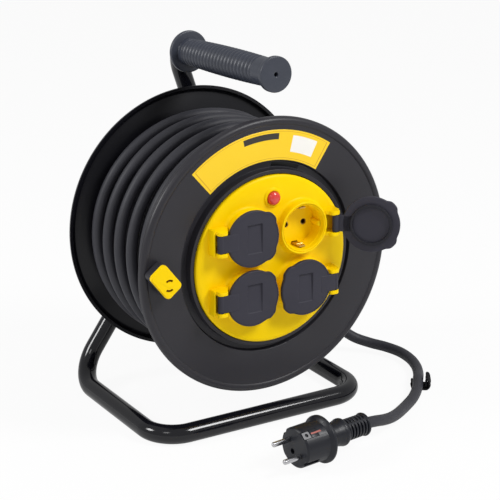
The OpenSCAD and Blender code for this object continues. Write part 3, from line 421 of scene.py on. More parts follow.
looks = {  # every finish of the reel: its slot, screen colours, roughness, grain and marks
    "enamel": ("black_enamel", dict(colour=(13, 13, 18), second=(18, 18, 24), rough=0.12, spread=0.05,
        specular=0.4, drift=60, grain=1400, bump=0.05, marks=0.12)),
    "grip": ("grip_rubber", dict(colour=(52, 56, 68), second=(46, 50, 60), rough=0.4, grain=1500, bump=0.2,
        marks=0.1, specular=0.55)),
    "zinc": ("zinc_steel", dict(colour=(178, 180, 184), second=(150, 152, 158), rough=0.3, metal=1, grain=700,
        bump=0.12, marks=0.2)),
    "yellow": ("yellow_plastic", dict(colour=(255, 217, 2), second=(254, 211, 1), rough=0.36, spread=0.08,
        grain=1600, bump=0.08, marks=0.08, worn=(255, 224, 70), specular=0.1)),
    "black": ("black_plastic", dict(colour=(46, 45, 50), second=(41, 40, 45), rough=0.38, spread=0.1,
        grain=1500, bump=0.14, marks=0.14, specular=0.3)),
    # the rear flange: the same black plastic painted darker, as painted shade
    "rearBlack": ("black_plastic", dict(colour=(19, 19, 24), second=(15, 15, 20), rough=0.3, spread=0.1,
        grain=1500, bump=0.14, marks=0.12, specular=0.25)),
    "flap": ("flap_plastic", dict(colour=(56, 55, 65), second=(50, 49, 58), rough=0.55, grain=1300, bump=0.28,
        marks=0.08, specular=0.25)),
    "seal": ("seal_rubber", dict(colour=(40, 40, 46), rough=0.6, bump=0.2, specular=0.2)),
    "brass": ("contact_brass", dict(colour=(206, 172, 96), second=(176, 140, 70), rough=0.28, metal=1,
        grain=600, bump=0.1, marks=0.2)),
    "cutout": ("cutout_plastic", dict(colour=(210, 206, 196), rough=0.5, marks=0.1)),
    "red": ("red_plastic", dict(colour=(226, 66, 58), second=(214, 50, 46), rough=0.22, coat=0.5, grain=1200,
        bump=0.04, marks=0.05, inside=0.15)),
    "bearing": ("bearing_plastic", dict(colour=(222, 218, 204), rough=0.48, marks=0.1)),
    "carbon": ("carbon", dict(colour=(48, 48, 52), rough=0.6, grain=500, bump=0.3)),
    "film": ("label_film", dict(colour=(253, 212, 24), second=(252, 207, 18), rough=0.42, spread=0.06,
        grain=1200, bump=0.03, marks=0.06, worn=(255, 232, 130))),
    "sheath": ("cable_rubber", dict(colour=(54, 54, 60), second=(44, 44, 50), rough=0.52, drift=45, grain=1700,
        bump=0.35, marks=0.16, worn=(74, 74, 80), specular=0.3)),
    "mark": ("red_plastic", dict(colour=(186, 112, 104), rough=0.5, marks=0.05, specular=0.25)),
    "tie": ("tie_fabric", dict(colour=(18, 18, 20), rough=0.85, grain=2400, bump=0.6, specular=0.2)),
    "plug": ("plug_rubber", dict(colour=(24, 26, 34), second=(19, 21, 28), rough=0.38, grain=1600, bump=0.2,
        marks=0.1, specular=0.35)),
    "nickel": ("plated_pins", dict(colour=(196, 196, 198), second=(176, 176, 180), rough=0.16, metal=1,
        bump=0.06, marks=0.15)),
}
# knobYellow and flangeBlack are copies of the yellow and the black that carry painted shade in the knob's slots
# and in the flange's slot
looks["knobYellow"], looks["flangeBlack"] = looks["yellow"], looks["black"]
for key, (slotName, look) in looks.items():
    newFinish(key, slotName, look)
print("finishes:", len(finishes))

# Free cord: leaves the drum at the winding's end, drops to the floor and runs to the plug
winding = {
    "turnFrom": 25.0, "loops": 5.2, "pitch": 22.3, "narrow": 0.09, "lean": 17.0, "first": 8.75,
    "endLane": 132.85, "endTurn": 0.16, "climb": 0.14, "tail": 50.0, "forward": -0.04, "coreR": 102.1,
    "gap": 0.2, "halfSide": 7.5,
}
plugPlace = {"x": -31.0, "ahead": -102.0, "z": 22.2, "heading": 7.6, "roll": 36.0, "bootEnd": 82.0,
             "bore": 24.0}
cord = {
    "floor": [  # x, y from the front rim, z from the floor
        (130.5, 129.4, 129.9), (134.6, 126.2, 103.9), (139.2, 122.1, 78.4), (145.6, 117.2, 53.8),
        (156, 111.4, 32), (170.6, 104.2, 17.6), (185.1, 93.4, 11), (196, 79.3, 8.8), (201.9, 62, 7.7),
        (201.9, 44.3, 6.5), (196.7, 27.2, 5.8), (187.4, 10.6, 5.8), (175.1, -5.6, 7.5), (162.2, -21.5, 6.2),
        (147.7, -35, 5.4), (133, -45.6, 5.4), (119.3, -55.8, 7), (106.2, -66.1, 9.7), (92.8, -74.8, 12.4),
        (79.4, -82, 16), (65.5, -87.2, 19.8),
    ],
    "startGap": 0.3, "inBore": 1.0, "sides": 24, "steps": 8, "tieAt": 14,
}
cableR = reel["cable"] / 2
woundR = (winding["coreR"] + cableR + winding["gap"]) / math.cos(math.radians(winding["halfSide"]))
leave = math.radians(winding["turnFrom"])
endWay = unit((math.sin(leave), winding["forward"], -math.cos(leave)))
loopEnd = np.array([woundR * math.cos(leave), winding["endLane"], woundR * math.sin(leave)])
cordStart = fromReel(loopEnd + endWay * (winding["tail"] + cord["startGap"]))
heading = math.radians(plugPlace["heading"])
plugWay = np.array([math.cos(heading), math.sin(heading), 0])
plugFace = np.array([plugPlace["x"], reel["frontY"] + plugPlace["ahead"], plugPlace["z"]])
boreEnd = plugPlace["bootEnd"] - plugPlace["bore"] + cord["inBore"]
cordPoints = np.vstack([
    cordStart, cordStart + endWay * reel["cable"], np.array(cord["floor"]) + [0, reel["frontY"], 0],
    plugFace + plugWay * plugPlace["bootEnd"], plugFace + plugWay * boreEnd,
])


# Curve through the points: half of 2b + (c-a)t + (2a-5b+4c-d)t2 + (3b-a-3c+d)t3 between b and c
def throughPoints(points, steps):
    a, b, c, d = (points[k:len(points) - 3 + k, None] for k in range(4))
    t = (np.arange(steps) / steps)[None, :, None]
    curve = 2 * b + (c - a) * t + (2 * a - 5 * b + 4 * c - d) * t ** 2 + (3 * b - a - 3 * c + d) * t ** 3
    return np.vstack([points[:1], 0.5 * curve.reshape(-1, 3), points[-2:]])


cordPath = throughPoints(cordPoints, cord["steps"])
freeCord = makePiece("free_cord", [tube(cordPath, cableR, cord["sides"])], "sheath")

# Plug: everything on it is drawn along its own axis from its face, then rolled and turned into place
roll = math.radians(plugPlace["roll"])
plugDown, plugSide = np.array([0, 0, -1.0]), np.array([-math.sin(heading), math.cos(heading), 0])
plugU = plugDown * math.cos(roll) + plugSide * math.sin(roll)
plugV = -plugDown * math.sin(roll) + plugSide * math.cos(roll)


def atPlug(points):  # face + x*U + y*V + z*way
    p = np.asarray(points, float)
    return plugFace + p[:, :1] * plugU + p[:, 1:2] * plugV + p[:, 2:] * plugWay


boot = {
    "start": 33.5, "end": 82.0, "rings": 220, "sides": 72,
    "ribs": 6, "ribDepth": 1.9, "ribFrom": 57.0, "ribTo": 79.4,
    "places": [33, 34, 36, 40, 46, 51, 52.5, 54.6, 56, 57, 79.4, 79.8, 81.4, 82],
    "radii": [13.6, 13.6, 11.6, 10.9, 11.3, 12.4, 13, 13, 12, 10.2, 10, 11, 11, 10.4],
}
h = np.linspace(boot["start"], boot["end"], boot["rings"])
waist = np.interp(h, boot["places"], boot["radii"])
waist = np.convolve(np.pad(waist, 3, "edge"), np.ones(7) / 7, "valid")
ribPlace = (h - boot["ribFrom"]) / ((boot["ribTo"] - boot["ribFrom"]) / boot["ribs"])
inRibs = ease((h - boot["ribFrom"] + 0.2) / 0.8) * ease((boot["ribTo"] + 0.2 - h) / 0.6)
t = roundTurns(boot["sides"])
halfRib = (np.sin(t) > 0) * 0.5  # the two rows of ribs are half a rib apart
groove = ease((np.abs(np.sin(np.pi * (ribPlace[:, None] + halfRib[None]))) - 0.42) / 0.3)
spine = ease((np.abs(np.sin(t)) - 0.12) / 0.12)[None]
bootR = waist[:, None] - boot["ribDepth"] * inRibs[:, None] * (1 - groove) * spine
bootGrid = np.stack([bootR * np.cos(t), bootR * np.sin(t), np.broadcast_to(h[:, None], bootR.shape)], -1)
first, last = (np.broadcast_to([[0, 0, height]], (boot["sides"], 3)) for height in (h[0], h[-1]))
bootVerts = atPlug(np.vstack([first, *bootGrid, last]))
bootShape = (bootVerts, gridFaces(boot["rings"] + 2, boot["sides"]))
plugBoot = makePiece("plug_boot", [bootShape], "plug")
plugBody = refined("plug_body", "plug", bevel=0.5)

pin = {
    "out": 9.5, "sides": 32, "edge": 0.5,
    "profile": [(0, -19), (1.7, -19), (2.4, -17.9), (2.4, -0.6), (2.0, -0.5), (2.0, 9), (0, 9)],
}
verts, faces = turned(soften(pin["profile"], pin["edge"], 5, False), pin["sides"], (0, 0, 0), (0, 0, 1))
pinShapes = [(atPlug(verts + [0, side * pin["out"], 0]), faces) for side in (1, -1)]
plugPins = makePiece("plug_pins", pinShapes, "nickel")

# Earth contacts: a small plate with a round hole at each side, its place behind filled by the boot's rubber
earth = {"out": 17.9, "in": 16.9, "wide": 3.4, "from": 0.8, "to": 8.4, "hole": 1.75, "holeAt": 4.6}
filling = {"radius": 18.65, "thick": 3.0, "halfAngle": 11.6, "start": 8.7, "stop": 17.0, "edge": 0.3}
mark = {"radius": 18.9, "thick": 0.6, "halfAngle": 2.3, "start": 9.4, "stop": 20.4, "edge": 0.12}
plateEdge = soften(box(-earth["wide"], earth["wide"], earth["from"], earth["to"]), 0.9)
plateHole = circleAt(0, earth["holeAt"], earth["hole"], 32)


def barAtPlug(side, radius, thick, halfAngle, start, stop, edge):  # a bar with a round back, along the plug
    arc = arcPoints(0, 0, radius, -halfAngle, halfAngle, 15)
    verts, faces = slab(np.vstack([arc, arc[::-1] * [0, 1] + [radius - thick, 0]]), start, stop, edge, 3)
    return atPlug(verts[:, [0, 2, 1]] * [side, side, 1]), faces


verts, faces = pierced([plateEdge, plateHole], 0)
stripShapes = []
for side in (1, -1):
    levels = [side * earth["out"], side * earth["in"]]
    stripShapes += [(atPlug(verts[:, [1, 0, 2]] + [level, 0, 0]), faces) for level in levels]
    for loop in (plateEdge, plateHole):
        both = np.vstack([np.insert(loop, 0, level, 1) for level in levels])
        stripShapes.append((atPlug(both), gridFaces(2, len(loop))))
earthStrips = makePiece("plug_earth_strips", stripShapes, "nickel")
plugFill = makePiece(None, [barAtPlug(side, **filling) for side in (1, -1)], "plug", name="plugFill")
plugMark = makePiece(None, [barAtPlug(side, **mark) for side in (1, -1)], "mark", name="plugMark")

# Cord tie: a flat strap under the cord, its tail folded back, drawn across the cord and carried along it
strap = {
    "length": 19.0, "halfThick": 0.7, "rings": 12, "waist": 0.03, "bend": 2.4,
    "line": [(-6.5, -2.6), (-5.4, -6.6), (5.0, -6.6), (9.4, -6.6), (12.0, -4.2), (10.6, 3.8), (8.0, 4.4),
             (8.4, -3.0)],
}
tieWay = unit(cordPoints[cord["tieAt"] + 1] - cordPoints[cord["tieAt"] - 1])
tieSide = unit(np.cross((0, 0, 1.0), tieWay))
tieUp = np.cross(tieWay, tieSide)
tieLine = soften(strap["line"], strap["bend"], 8, False)
tieNormal = unit(np.stack([-np.gradient(tieLine[:, 1]), np.gradient(tieLine[:, 0])], 1)) * strap["halfThick"]
tieRing = np.vstack([tieLine + tieNormal, (tieLine - tieNormal)[::-1]])
along = np.linspace(-0.5, 0.5, strap["rings"])[:, None, None]
squeeze = 1 - strap["waist"] * np.cos(12 * along)
tieVerts = (cordPoints[cord["tieAt"]] + tieRing[None, :, :1] * squeeze * tieSide + tieRing[None, :, 1:] * tieUp
            + along * strap["length"] * tieWay).reshape(-1, 3)
tieShape = (tieVerts, cappedFaces(strap["rings"], len(tieRing)))
cordTie = makePiece("cord_tie", [tieShape], "tie", sharp=50)

# Stand: one bent tube, its left leg welded to the right one, and the handle tube plugged in
stand = {
    "tubeR": 9.0, "halfWidth": 110.5, "legY": 171.4, "bends": (0, 34.0, 30.0, 30.0, 34.0, 0), "sides": 48,
    "handleX": 3.0, "handleZ": 327.0, "handleBend": 26.0, "jointRise": 78.0, "plugIn": 20.0, "slope": 3.1,
    "gripL": 159.0, "beadR": 1.7, "beadSides": 10,
}
tubeR, halfWidth, gripL = stand["tubeR"], stand["halfWidth"], stand["gripL"]
frontY, legY = reel["frontY"], stand["legY"] + reel["frontY"]
leftLean = math.atan2(halfWidth, reel["axleZ"] - tubeR)
rightLean = math.atan2(halfWidth - stand["handleX"], stand["handleZ"] - tubeR)
leftUp = np.array([math.sin(leftLean), 0, math.cos(leftLean)])
rightUp = np.array([-math.sin(rightLean), 0, math.cos(rightLean)])
leftCorner, rightCorner = np.array([-halfWidth, legY, tubeR]), np.array([halfWidth, legY, tubeR])
weld = leftCorner + leftUp * 2 * halfWidth / (leftUp[0] + leftUp[2] * math.tan(rightLean))
joint = rightCorner + rightUp * (reel["axleZ"] + stand["jointRise"] - tubeR) / rightUp[2]
slope = math.radians(stand["slope"])
gripWay = np.array([0, -math.cos(slope), math.sin(slope)])
handleCorner = np.array([stand["handleX"], legY, stand["handleZ"]])
gripStart = handleCorner + gripWay * (stand["handleBend"] + 1)
gripEnd = gripStart + gripWay * gripL
frontLeft, frontRight = (-halfWidth, frontY, tubeR), (halfWidth, frontY, tubeR)
standPath = bentRoute([weld, leftCorner, frontLeft, frontRight, rightCorner, joint], stand["bends"])
lip = np.array([-0.9, -0.35, -0.12, 0])[:, None] * rightUp  # the tube's rounded end
standPath = np.vstack([standPath[:-1], joint + lip])
standR = tubeR - np.concatenate([np.zeros(len(standPath) - 3), [0.12, 0.45, 0.9]])
# the weld bead follows the line where the two legs meet
t = np.linspace(0, 2 * np.pi, 121)
ahead, aside = np.array([0, 1.0, 0]), np.cross(leftUp, (0, 1.0, 0))
legsDot, asideDot = float(leftUp @ rightUp), float(aside @ rightUp)
reach = np.maximum(tubeR * np.sin(t) * asideDot / (1 + legsDot), -tubeR * np.sin(t) * asideDot / (1 - legsDot))
beadPath = weld + tubeR * (np.cos(t)[:, None] * ahead + np.sin(t)[:, None] * aside) - reach[:, None] * leftUp
beadR = stand["beadR"] + 0.18 * np.sin(t * 37) + 0.1 * np.sin(t * 23 + 1)
standShapes = [tube(standPath, standR, stand["sides"]), tube(beadPath, beadR, stand["beadSides"])]
makePiece("base_tube", standShapes, "enamel", name="standTube")
handlePath = bentRoute([joint, handleCorner, gripEnd - gripWay * 6], [0, stand["handleBend"], 0])
lip = np.array([0.25, 0.4, 0.65, 1.2])[:, None] * rightUp
handlePath = np.vstack([joint - rightUp * stand["plugIn"], joint + lip, handlePath[1:]])
handleR = tubeR - np.concatenate([[1.6, 1.0, 0.45, 0.1], np.zeros(len(handlePath) - 4)])
makePiece("handle_tube", [tube(handlePath, handleR, stand["sides"])], "enamel")

# Grip: a ribbed sleeve between a wide rear collar and a flat front disc
grip = {
    "ribs": 21, "from": 10.0, "to": 135.0, "ribDepth": 2.1, "ribShape": 0.8, "middleR": 14.0, "endR": 12.3,
    "sleeveFrom": 4.6, "sleeveEnd": 6.2, "rings": 560, "sides": 96,
    "collar": [(9.05, 0), (20.0, 0), (20.0, 4.0), (13.2, 4.4)],
    "disc": [(13.4, -5.6), (16.2, -5.2), (16.2, 0), (1.9, 0), (1.9, -5), (9.05, -5.2)],  # from the front end
}
sleeveTo = gripL - grip["sleeveEnd"]
h = np.linspace(grip["sleeveFrom"], sleeveTo, grip["rings"])
fromMiddle = (h - gripL / 2) / (gripL / 2)
ribR = grip["middleR"] - (grip["middleR"] - grip["endR"]) * fromMiddle * fromMiddle
ribPlace = (h - grip["from"]) / (grip["to"] - grip["from"]) * grip["ribs"]
inRibs = ease((h - grip["from"] + 1) / 2) * ease((grip["to"] + 1 - h) / 2)
ribR -= grip["ribDepth"] * inRibs * (1 - np.abs(np.sin(np.pi * ribPlace)) ** grip["ribShape"])
ribR += 0.9 * np.exp(-(h - grip["sleeveFrom"]) / 1.6) + 1.2 * np.exp(-(sleeveTo - h) / 1.2)
collar = soften(grip["collar"], 1.5, 7, False)
disc = soften(np.array(grip["disc"]) + [0, gripL], 1.1, 6, False)
gripProfile = np.vstack([collar, np.stack([ribR, h], 1), disc])
gripShape = turned(gripProfile, grip["sides"], gripStart, gripWay)
makePiece("handle_grip", [gripShape], "grip", sharp=50)
print("stand, handle and grip made")

# Drum: both flanges turned from their profiles, the front one with a curved slot, the rear one with ribs
drum = {
    "sides": 288, "slotIn": 84.15, "slotOut": 87.95, "slotY": -1.5, "slotFrom": 66.5, "slotTo": 86.5,
    "slotDepth": 2.6, "spokes": 6, "ribFoot": 140.5, "ribTop": 144.0,
}
frontProfile = np.vstack([
    soften([(79.3, 4.5), (79.3, -10.2), (83.0, -10.2), (83.3, -1.5), (84.0, -1.5), (84.3, -1.5), (87.8, -1.5),
            (88.1, -1.5), (89.0, -1.5), (90.0, -5.5), (122.4, -5.5), (122.7, -5.35)], 0.7, 5, False),
    arcPoints(125.6, -2.1, 4.4, -132, 0),
    soften([(130, -1.8), (130, 0), (127, 0), (126, -1.6), (123.6, -2.5)], 0.6),
    [(120.5, -2.5), (92.0, -2.5), (90.5, 1.5), (80.7, 1.5), (80.7, 7.5), (79.3, 7.5)],
])
verts, faces = turned(frontProfile, drum["sides"])
polar = np.degrees(np.arctan2(verts[:, 2], verts[:, 0]))
across = np.hypot(verts[:, 0], verts[:, 2])
inSlot = (across > drum["slotIn"]) & (across < drum["slotOut"]) & (np.abs(verts[:, 1] - drum["slotY"]) < 0.25)
inTurn = ease((polar - drum["slotFrom"]) / 1.2) * ease((drum["slotTo"] - polar) / 1.2)
verts[:, 1] += drum["slotDepth"] * inSlot * inTurn
makePiece("front_flange", onReel([(verts, faces)]), "flangeBlack", "drum", 40)
rearProfile = np.vstack([
    soften([(16.05, 93.5), (22.0, 93.5), (22.0, 138.5), (119.5, 138.5)], 1.2, 5, False),
    arcPoints(122.5, 136, 4.5, 90, 0), arcPoints(122.5, 136, 7.5, 0, 96),
    soften([(121.2, 143.2), (119.0, 141.9), (116.5, 141.5), (22.0, 141.5), (22.0, 155.5), (16.05, 155.5)],
           1.2, 5, False),
])
ringRib = soften(box(drum["ribFoot"], drum["ribTop"], 83, 86), 0.6)[:, ::-1]
rearShapes = [turned(rearProfile, drum["sides"]), turned(ringRib, drum["sides"])]
spokeLine = soften(box(21, 116.5, -1.5, 1.5), 0.8)
for spoke in range(drum["spokes"]):
    q = math.radians(30 + 360 / drum["spokes"] * spoke)
    spun = spokeLine @ np.array([[math.cos(q), math.sin(q)], [-math.sin(q), math.cos(q)]])
    rearShapes.append(slab(spun, drum["ribFoot"], drum["ribTop"], 0.6))
# the rear flange takes the darker copy of the black, which is painted shade
makePiece("rear_flange", onReel(rearShapes), "rearBlack", "drum", 40)

# Wound cable: two tight inner layers, then the loose outer loops over them
inner = {"pitch": 10.75, "from": 7.5, "lowerR": 87.76, "upperR": 96.85, "lastLane": 131.0}
loops, firstLane = winding["loops"], winding["first"]


def woundLoop(u):  # the outer layer: angle falls by a turn a loop, its lean grows from loop to loop
    q = np.radians(winding["turnFrom"] + 360 * (loops - u))
    low = woundR - reel["cable"] - 0.4
    radius = low + (woundR - low) * ease(u / winding["climb"])
    y = firstLane + winding["pitch"] * u * (1 - winding["narrow"] * u / loops)
    y = y - winding["lean"] * (u / loops) * np.cos(q)
    last = firstLane + winding["pitch"] * loops * (1 - winding["narrow"]) - winding["lean"] * math.cos(leave)
    y = y + (winding["endLane"] - last) * ease(1 - (loops - u) / winding["endTurn"])
    return ringPoints(radius, y, q)


outer = woundLoop(np.linspace(0, loops, int(loops * 96)))
tailPath = outer[-1] + endWay * np.array([10.0, 20.0, 35.0, winding["tail"]])[:, None]
turns = (inner["lastLane"] - firstLane) / inner["pitch"]
u = np.linspace(turns, 0.02, int(turns * 72))
q = np.radians(winding["turnFrom"] + 360 * loops) + 2 * np.pi * u
upper = ringPoints(inner["upperR"], firstLane + inner["pitch"] * u - 0.4, q)
u = np.linspace(0, turns + 0.3, int(turns * 60))
lower = ringPoints(inner["lowerR"], inner["from"] + inner["pitch"] * u * 0.97, 2 * np.pi * u)
layers = [tube(fromReel(lower), cableR, 12), tube(fromReel(upper), cableR, 14)]
makePiece("cable_core", layers, "sheath", "drum", name="woundLayers")
outerLayer = tube(fromReel(np.vstack([outer, tailPath])), cableR, 22)
makePiece("cable_winding", [outerLayer], "sheath", "drum")
print("drum and winding made")

# Socket panel: a raised round cap with a skirt, four towers, the button's bezel and the flaps' hinge brackets
panel = {
    "r": 78.8, "front": -14.0, "slope": 6.3, "back": -11.0, "skirtIn": 76.4, "skirtEnd": -6.5, "rimSides": 192,
    "towerOut": 24.35, "foot": 3.5, "pitch": 28.0, "buttonZ": 58.5, "bezelR": 10.6, "bezelHole": 8.5,
    "hingeX": 60.5, "hingeY": -25.5, "earThick": 3.6, "earStarts": (8.4, -12.0), "earR": 3.6, "earTip": 3.0,
}
sockets = [(x * panel["pitch"], z * panel["pitch"]) for z in (1, -1) for x in (-1, 1)]
faceR, front, footR = panel["r"] - panel["slope"], panel["front"], panel["towerOut"] + panel["foot"]


def plateLoops(rim, towers, button):  # a round plate's edge, its four tower holes and the button's hole
    loops = [circleAt(0, 0, rim, panel["rimSides"])] + [circleAt(x, z, towers) for x, z in sockets]
    return loops + [circleAt(0, panel["buttonZ"], button)]


# the edge curves from the face to the skirt: (6.3 sin, -2.5 cos)
edge = arcPoints(0, 0, 1, 4, 90, 12)[:, ::-1] * [panel["slope"], -2.5] + [faceR, -11.4]
edge = np.vstack([[(faceR, front)], edge, [
    (78.8, -6.9), (78.5, panel["skirtEnd"]), (76.7, panel["skirtEnd"]), (panel["skirtIn"], -6.9),
    (panel["skirtIn"], panel["back"]),
]])
panelShapes = [
    pierced(plateLoops(faceR, footR, panel["bezelR"]), front), turnedAt(edge, 0, 0, panel["rimSides"]),
    pierced(plateLoops(panel["skirtIn"], panel["towerOut"], panel["bezelHole"]), panel["back"]),
]
towerProfile = np.vstack([
    arcPoints(footR, front - panel["foot"], panel["foot"], 90, 180, 9),
    soften([(24.35, -18), (24.35, -24), (22.7, -24), (22.4, -23.2), (22.05, -22.6), (22.05, -7.0)],
           0.8, 5, False),
])
bezelProfile = soften([(panel["bezelR"], front), (9.4, -14.1), (8.5, -15.5), (6.4, -15.5), (6.35, -11.0)],
                      0.8, 6, False)
panelShapes += [turnedAt(towerProfile, x, z) for x, z in sockets]
panelShapes.append(turnedAt(bezelProfile, 0, panel["buttonZ"]))


def atHinge(x, z):  # the hinge beside the socket at x and z
    return [np.sign(x) * panel["hingeX"], panel["hingeY"], z]


# Outline in x and y, carried in z: a hinge ear seen from its end
def earShape(outline, z0, z1, x, z):
    verts, faces = slab(outline, z0, z1, 0.45, 3)
    return verts[:, [0, 2, 1]] * [np.sign(x), 1, 1] + atHinge(x, z), faces


ear = np.vstack([
    arcPoints(0, 0, panel["earR"], 30, -90), arcPoints(-panel["earTip"], 0, panel["earR"], -90, -200),
    [(-8.9, 2.6), (-12.6, 8.4), (-12.6, 13.4), (4.2, 13.4), (4.2, 3.2)],
])
wall = soften([(3.8, 2.4), (5.4, 2.4), (5.8, 13.4), (3.8, 13.4)], 0.7)
for x, z in sockets:
    panelShapes += [earShape(ear, z0, z0 + panel["earThick"], x, z) for z0 in panel["earStarts"]]
    panelShapes.append(earShape(wall, -12.0, 12.0, x, z))
makePiece("socket_panel", onReel(panelShapes), "yellow", sharp=40)

# Socket inserts: a flared mouth, a round wall, two guides and a floor with two pin holes and two clip slots
insert = {
    "outer": 21.95, "wall": 20.15, "mouth": -23.4, "guideTop": -19.2, "floor": -6.5, "back": -3.5,
    "pin": 9.5, "hole": 3.1, "clipAt": 18.15, "clipLong": 6.6, "clipWide": 2.4,
}
flare = soften([(21.9, -23.5), (21.3, -23.3), (20.75, -21.4), (20.45, -19.3), (20.15, -19.2)], 0.5, 4, False)
wallProfile = np.vstack([[(insert["outer"], insert["back"]), (insert["outer"], insert["mouth"])], flare,
                         [(insert["wall"], insert["floor"])]])
guide = slab(soften([(20.3, -2.6), (17.2, -2.2), (17.2, 2.2), (20.3, 2.6)], 0.5),
             insert["guideTop"], insert["floor"] + 0.2, 0.6)
clipSlot = np.array([(1, 1), (-1, 1), (-1, -1), (1, -1)]) * [insert["clipLong"] / 2, insert["clipWide"] / 2]
insertShapes = []
for x, z in sockets:
    insertShapes.append(turnedAt(wallProfile, x, z))
    holes = [circleAt(x + side * insert["pin"], z, insert["hole"], 32) for side in (1, -1)]
    holes += [clipSlot + [x, z + side * insert["clipAt"]] for side in (1, -1)]
    insertShapes.append(pierced([circleAt(x, z, insert["wall"])] + holes, insert["floor"]))
    for loop in holes:
        both = np.vstack([np.insert(loop, 1, y, 1) for y in (insert["floor"], insert["back"])])
        insertShapes.append((both, gridFaces(2, len(loop))))
    insertShapes += [(guide[0] * [side, 1, 1] + [x, 0, z], guide[1]) for side in (1, -1)]
makePiece("socket_inserts", onReel(insertShapes), "yellow", sharp=40)

# Reset button: a stem with a round top
button = {"r": 6.2, "foot": -4.7, "shoulder": -16.6, "dome": 3.4}
dome = arcPoints(0, 0, 1, 0, 90, 11) * [button["r"], -button["dome"]] + [0, button["shoulder"]]
stem = [(0, button["foot"]), (button["r"], button["foot"])]
buttonShape = turnedAt(np.vstack([stem, dome]), 0, panel["buttonZ"], 48)
makePiece("reset_button", onReel([buttonShape]), "red", "button")

# The button's spring: a coil (r*cos, y, r*sin) with close end turns
spring = {"wire": 0.7, "turns": 5.0}
low, high = nodePoints("button_spring").min(0), nodePoints("button_spring").max(0)
share = np.linspace(0, 1, 160)
coilR, height = (high[0] - low[0] - spring["wire"]) / 2, high[1] - low[1] - spring["wire"]
rise = height * (0.15 * share + 0.85 * ease(share * 1.1 - 0.05))
coil = ringPoints(coilR, rise, 2 * np.pi * spring["turns"] * share)
coil += [(low[0] + high[0]) / 2, low[1] + spring["wire"] / 2, (low[2] + high[2]) / 2]
coilShape = tube(coil, spring["wire"] / 2, 10)
buttonSpring = makePiece("button_spring", [coilShape], "zinc")
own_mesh(buttonSpring)
print("panel made, spring", round(float(high[1] - low[1]), 2), "mm")

# Flaps: a disc with two finger lugs, a shallow finger recess and a hinge knuckle
flap = {
    "r": 26.3, "centre": 32.5, "front": -3.0, "back": 0.8, "edge": 1.3, "backEdge": 0.6, "lug": 2.3,
    "lugAt": (43, 317), "lugWide": 13, "openBy": 140.0, "sides": 240, "rings": 52, "knuckleR": 3.2,
    "halfHinge": 8, "pocket": (7.8, 13.6, 0.7),  # half width, half length, edge
}


def flapShapes(openBy, socketX, socketZ):
    q = roundTurns(flap["sides"])
    offsets = [(np.degrees(q) - place + 180) % 360 - 180 for place in flap["lugAt"]]
    bumps = sum(np.exp(-(offset / flap["lugWide"]) ** 4) for offset in offsets)
    outline = flap["r"] + flap["lug"] * bumps  # the disc's radius plus a rounded bump at each lug
    edge, backEdge, m = flap["edge"], flap["backEdge"], flap["rings"]
    depth = flap["back"] - flap["front"]
    # rings from the middle of the front, over the rounded rim, to the middle of the back
    fill = np.concatenate([np.linspace(0, 1, m), np.full(12, 1.0), np.linspace(1, 0, m)[1:]])
    bend = np.radians(np.linspace(0, 90, 6))
    inset = np.concatenate([np.full(m, edge), edge * (1 - np.sin(bend)), backEdge * (1 - np.cos(bend)),
                            np.full(m - 1, backEdge)])
    y = np.concatenate([np.full(m, 0.0), edge * (1 - np.cos(bend)), depth - backEdge * (1 - np.sin(bend)),
                        np.full(m - 1, depth)])
    radius = fill[:, None] * (outline[None] - inset[:, None])
    verts = ringPoints(radius, (flap["front"] + y)[:, None], q, flap["centre"])
    x, z = verts[..., 0], verts[..., 2]
    wide, long, soft = flap["pocket"]
    pocket = ease((wide - np.abs(x - flap["centre"] - 1)) / soft) * ease((long - np.abs(z)) / soft)
    isFront = (np.arange(len(fill)) < m)[:, None]
    verts[..., 1] += isFront * pocket * (0.7 + 0.05 * (z + 13))
    verts[..., 1] += isFront * 0.35 * (radius / flap["r"]) ** 2 * (1 - pocket)
    half = flap["halfHinge"]
    tongue = soften(box(-0.5, 17, -half, half), 1.2)
    knuckle, knuckleFaces = slab(circleAt(0, 0, flap["knuckleR"], 30), -half, half, 0.4, 3)
    shapes = [(verts.reshape(-1, 3), gridFaces(len(fill), flap["sides"])),
              slab(tongue, flap["front"], flap["back"], 0.7), (knuckle[:, [0, 2, 1]], knuckleFaces)]
    c, s = math.cos(math.radians(openBy)), math.sin(math.radians(openBy))
    swing, mirror = np.array([[c, -s, 0], [s, c, 0], [0, 0, 1]]), [-np.sign(socketX), 1, 1]
    return onReel([(v @ swing * mirror + atHinge(socketX, socketZ), f) for v, f in shapes])


for key, (x, z) in zip(("tl", "tr", "bl", "br"), sockets):
    body = "flap_%s_body" % key
    makePiece("flap_" + key, flapShapes(flap["openBy"] if key == "tr" else 0, x, z), "flap", body, 45)
    refined("seal_" + key, "seal", body, 0.4)

# Winding knob and other small pieces
refined("knob_body", "black", "knob", 0.7)
refined("knob_cap", "knobYellow", "knob", 0.8, 4)
refined("hub_plate", "enamel")
for node in ("plate_bolts", "plate_nuts", "axle_bolt", "joint_screw"):
    refined(node, "zinc")
refined("flange_screws", "zinc", "drum")


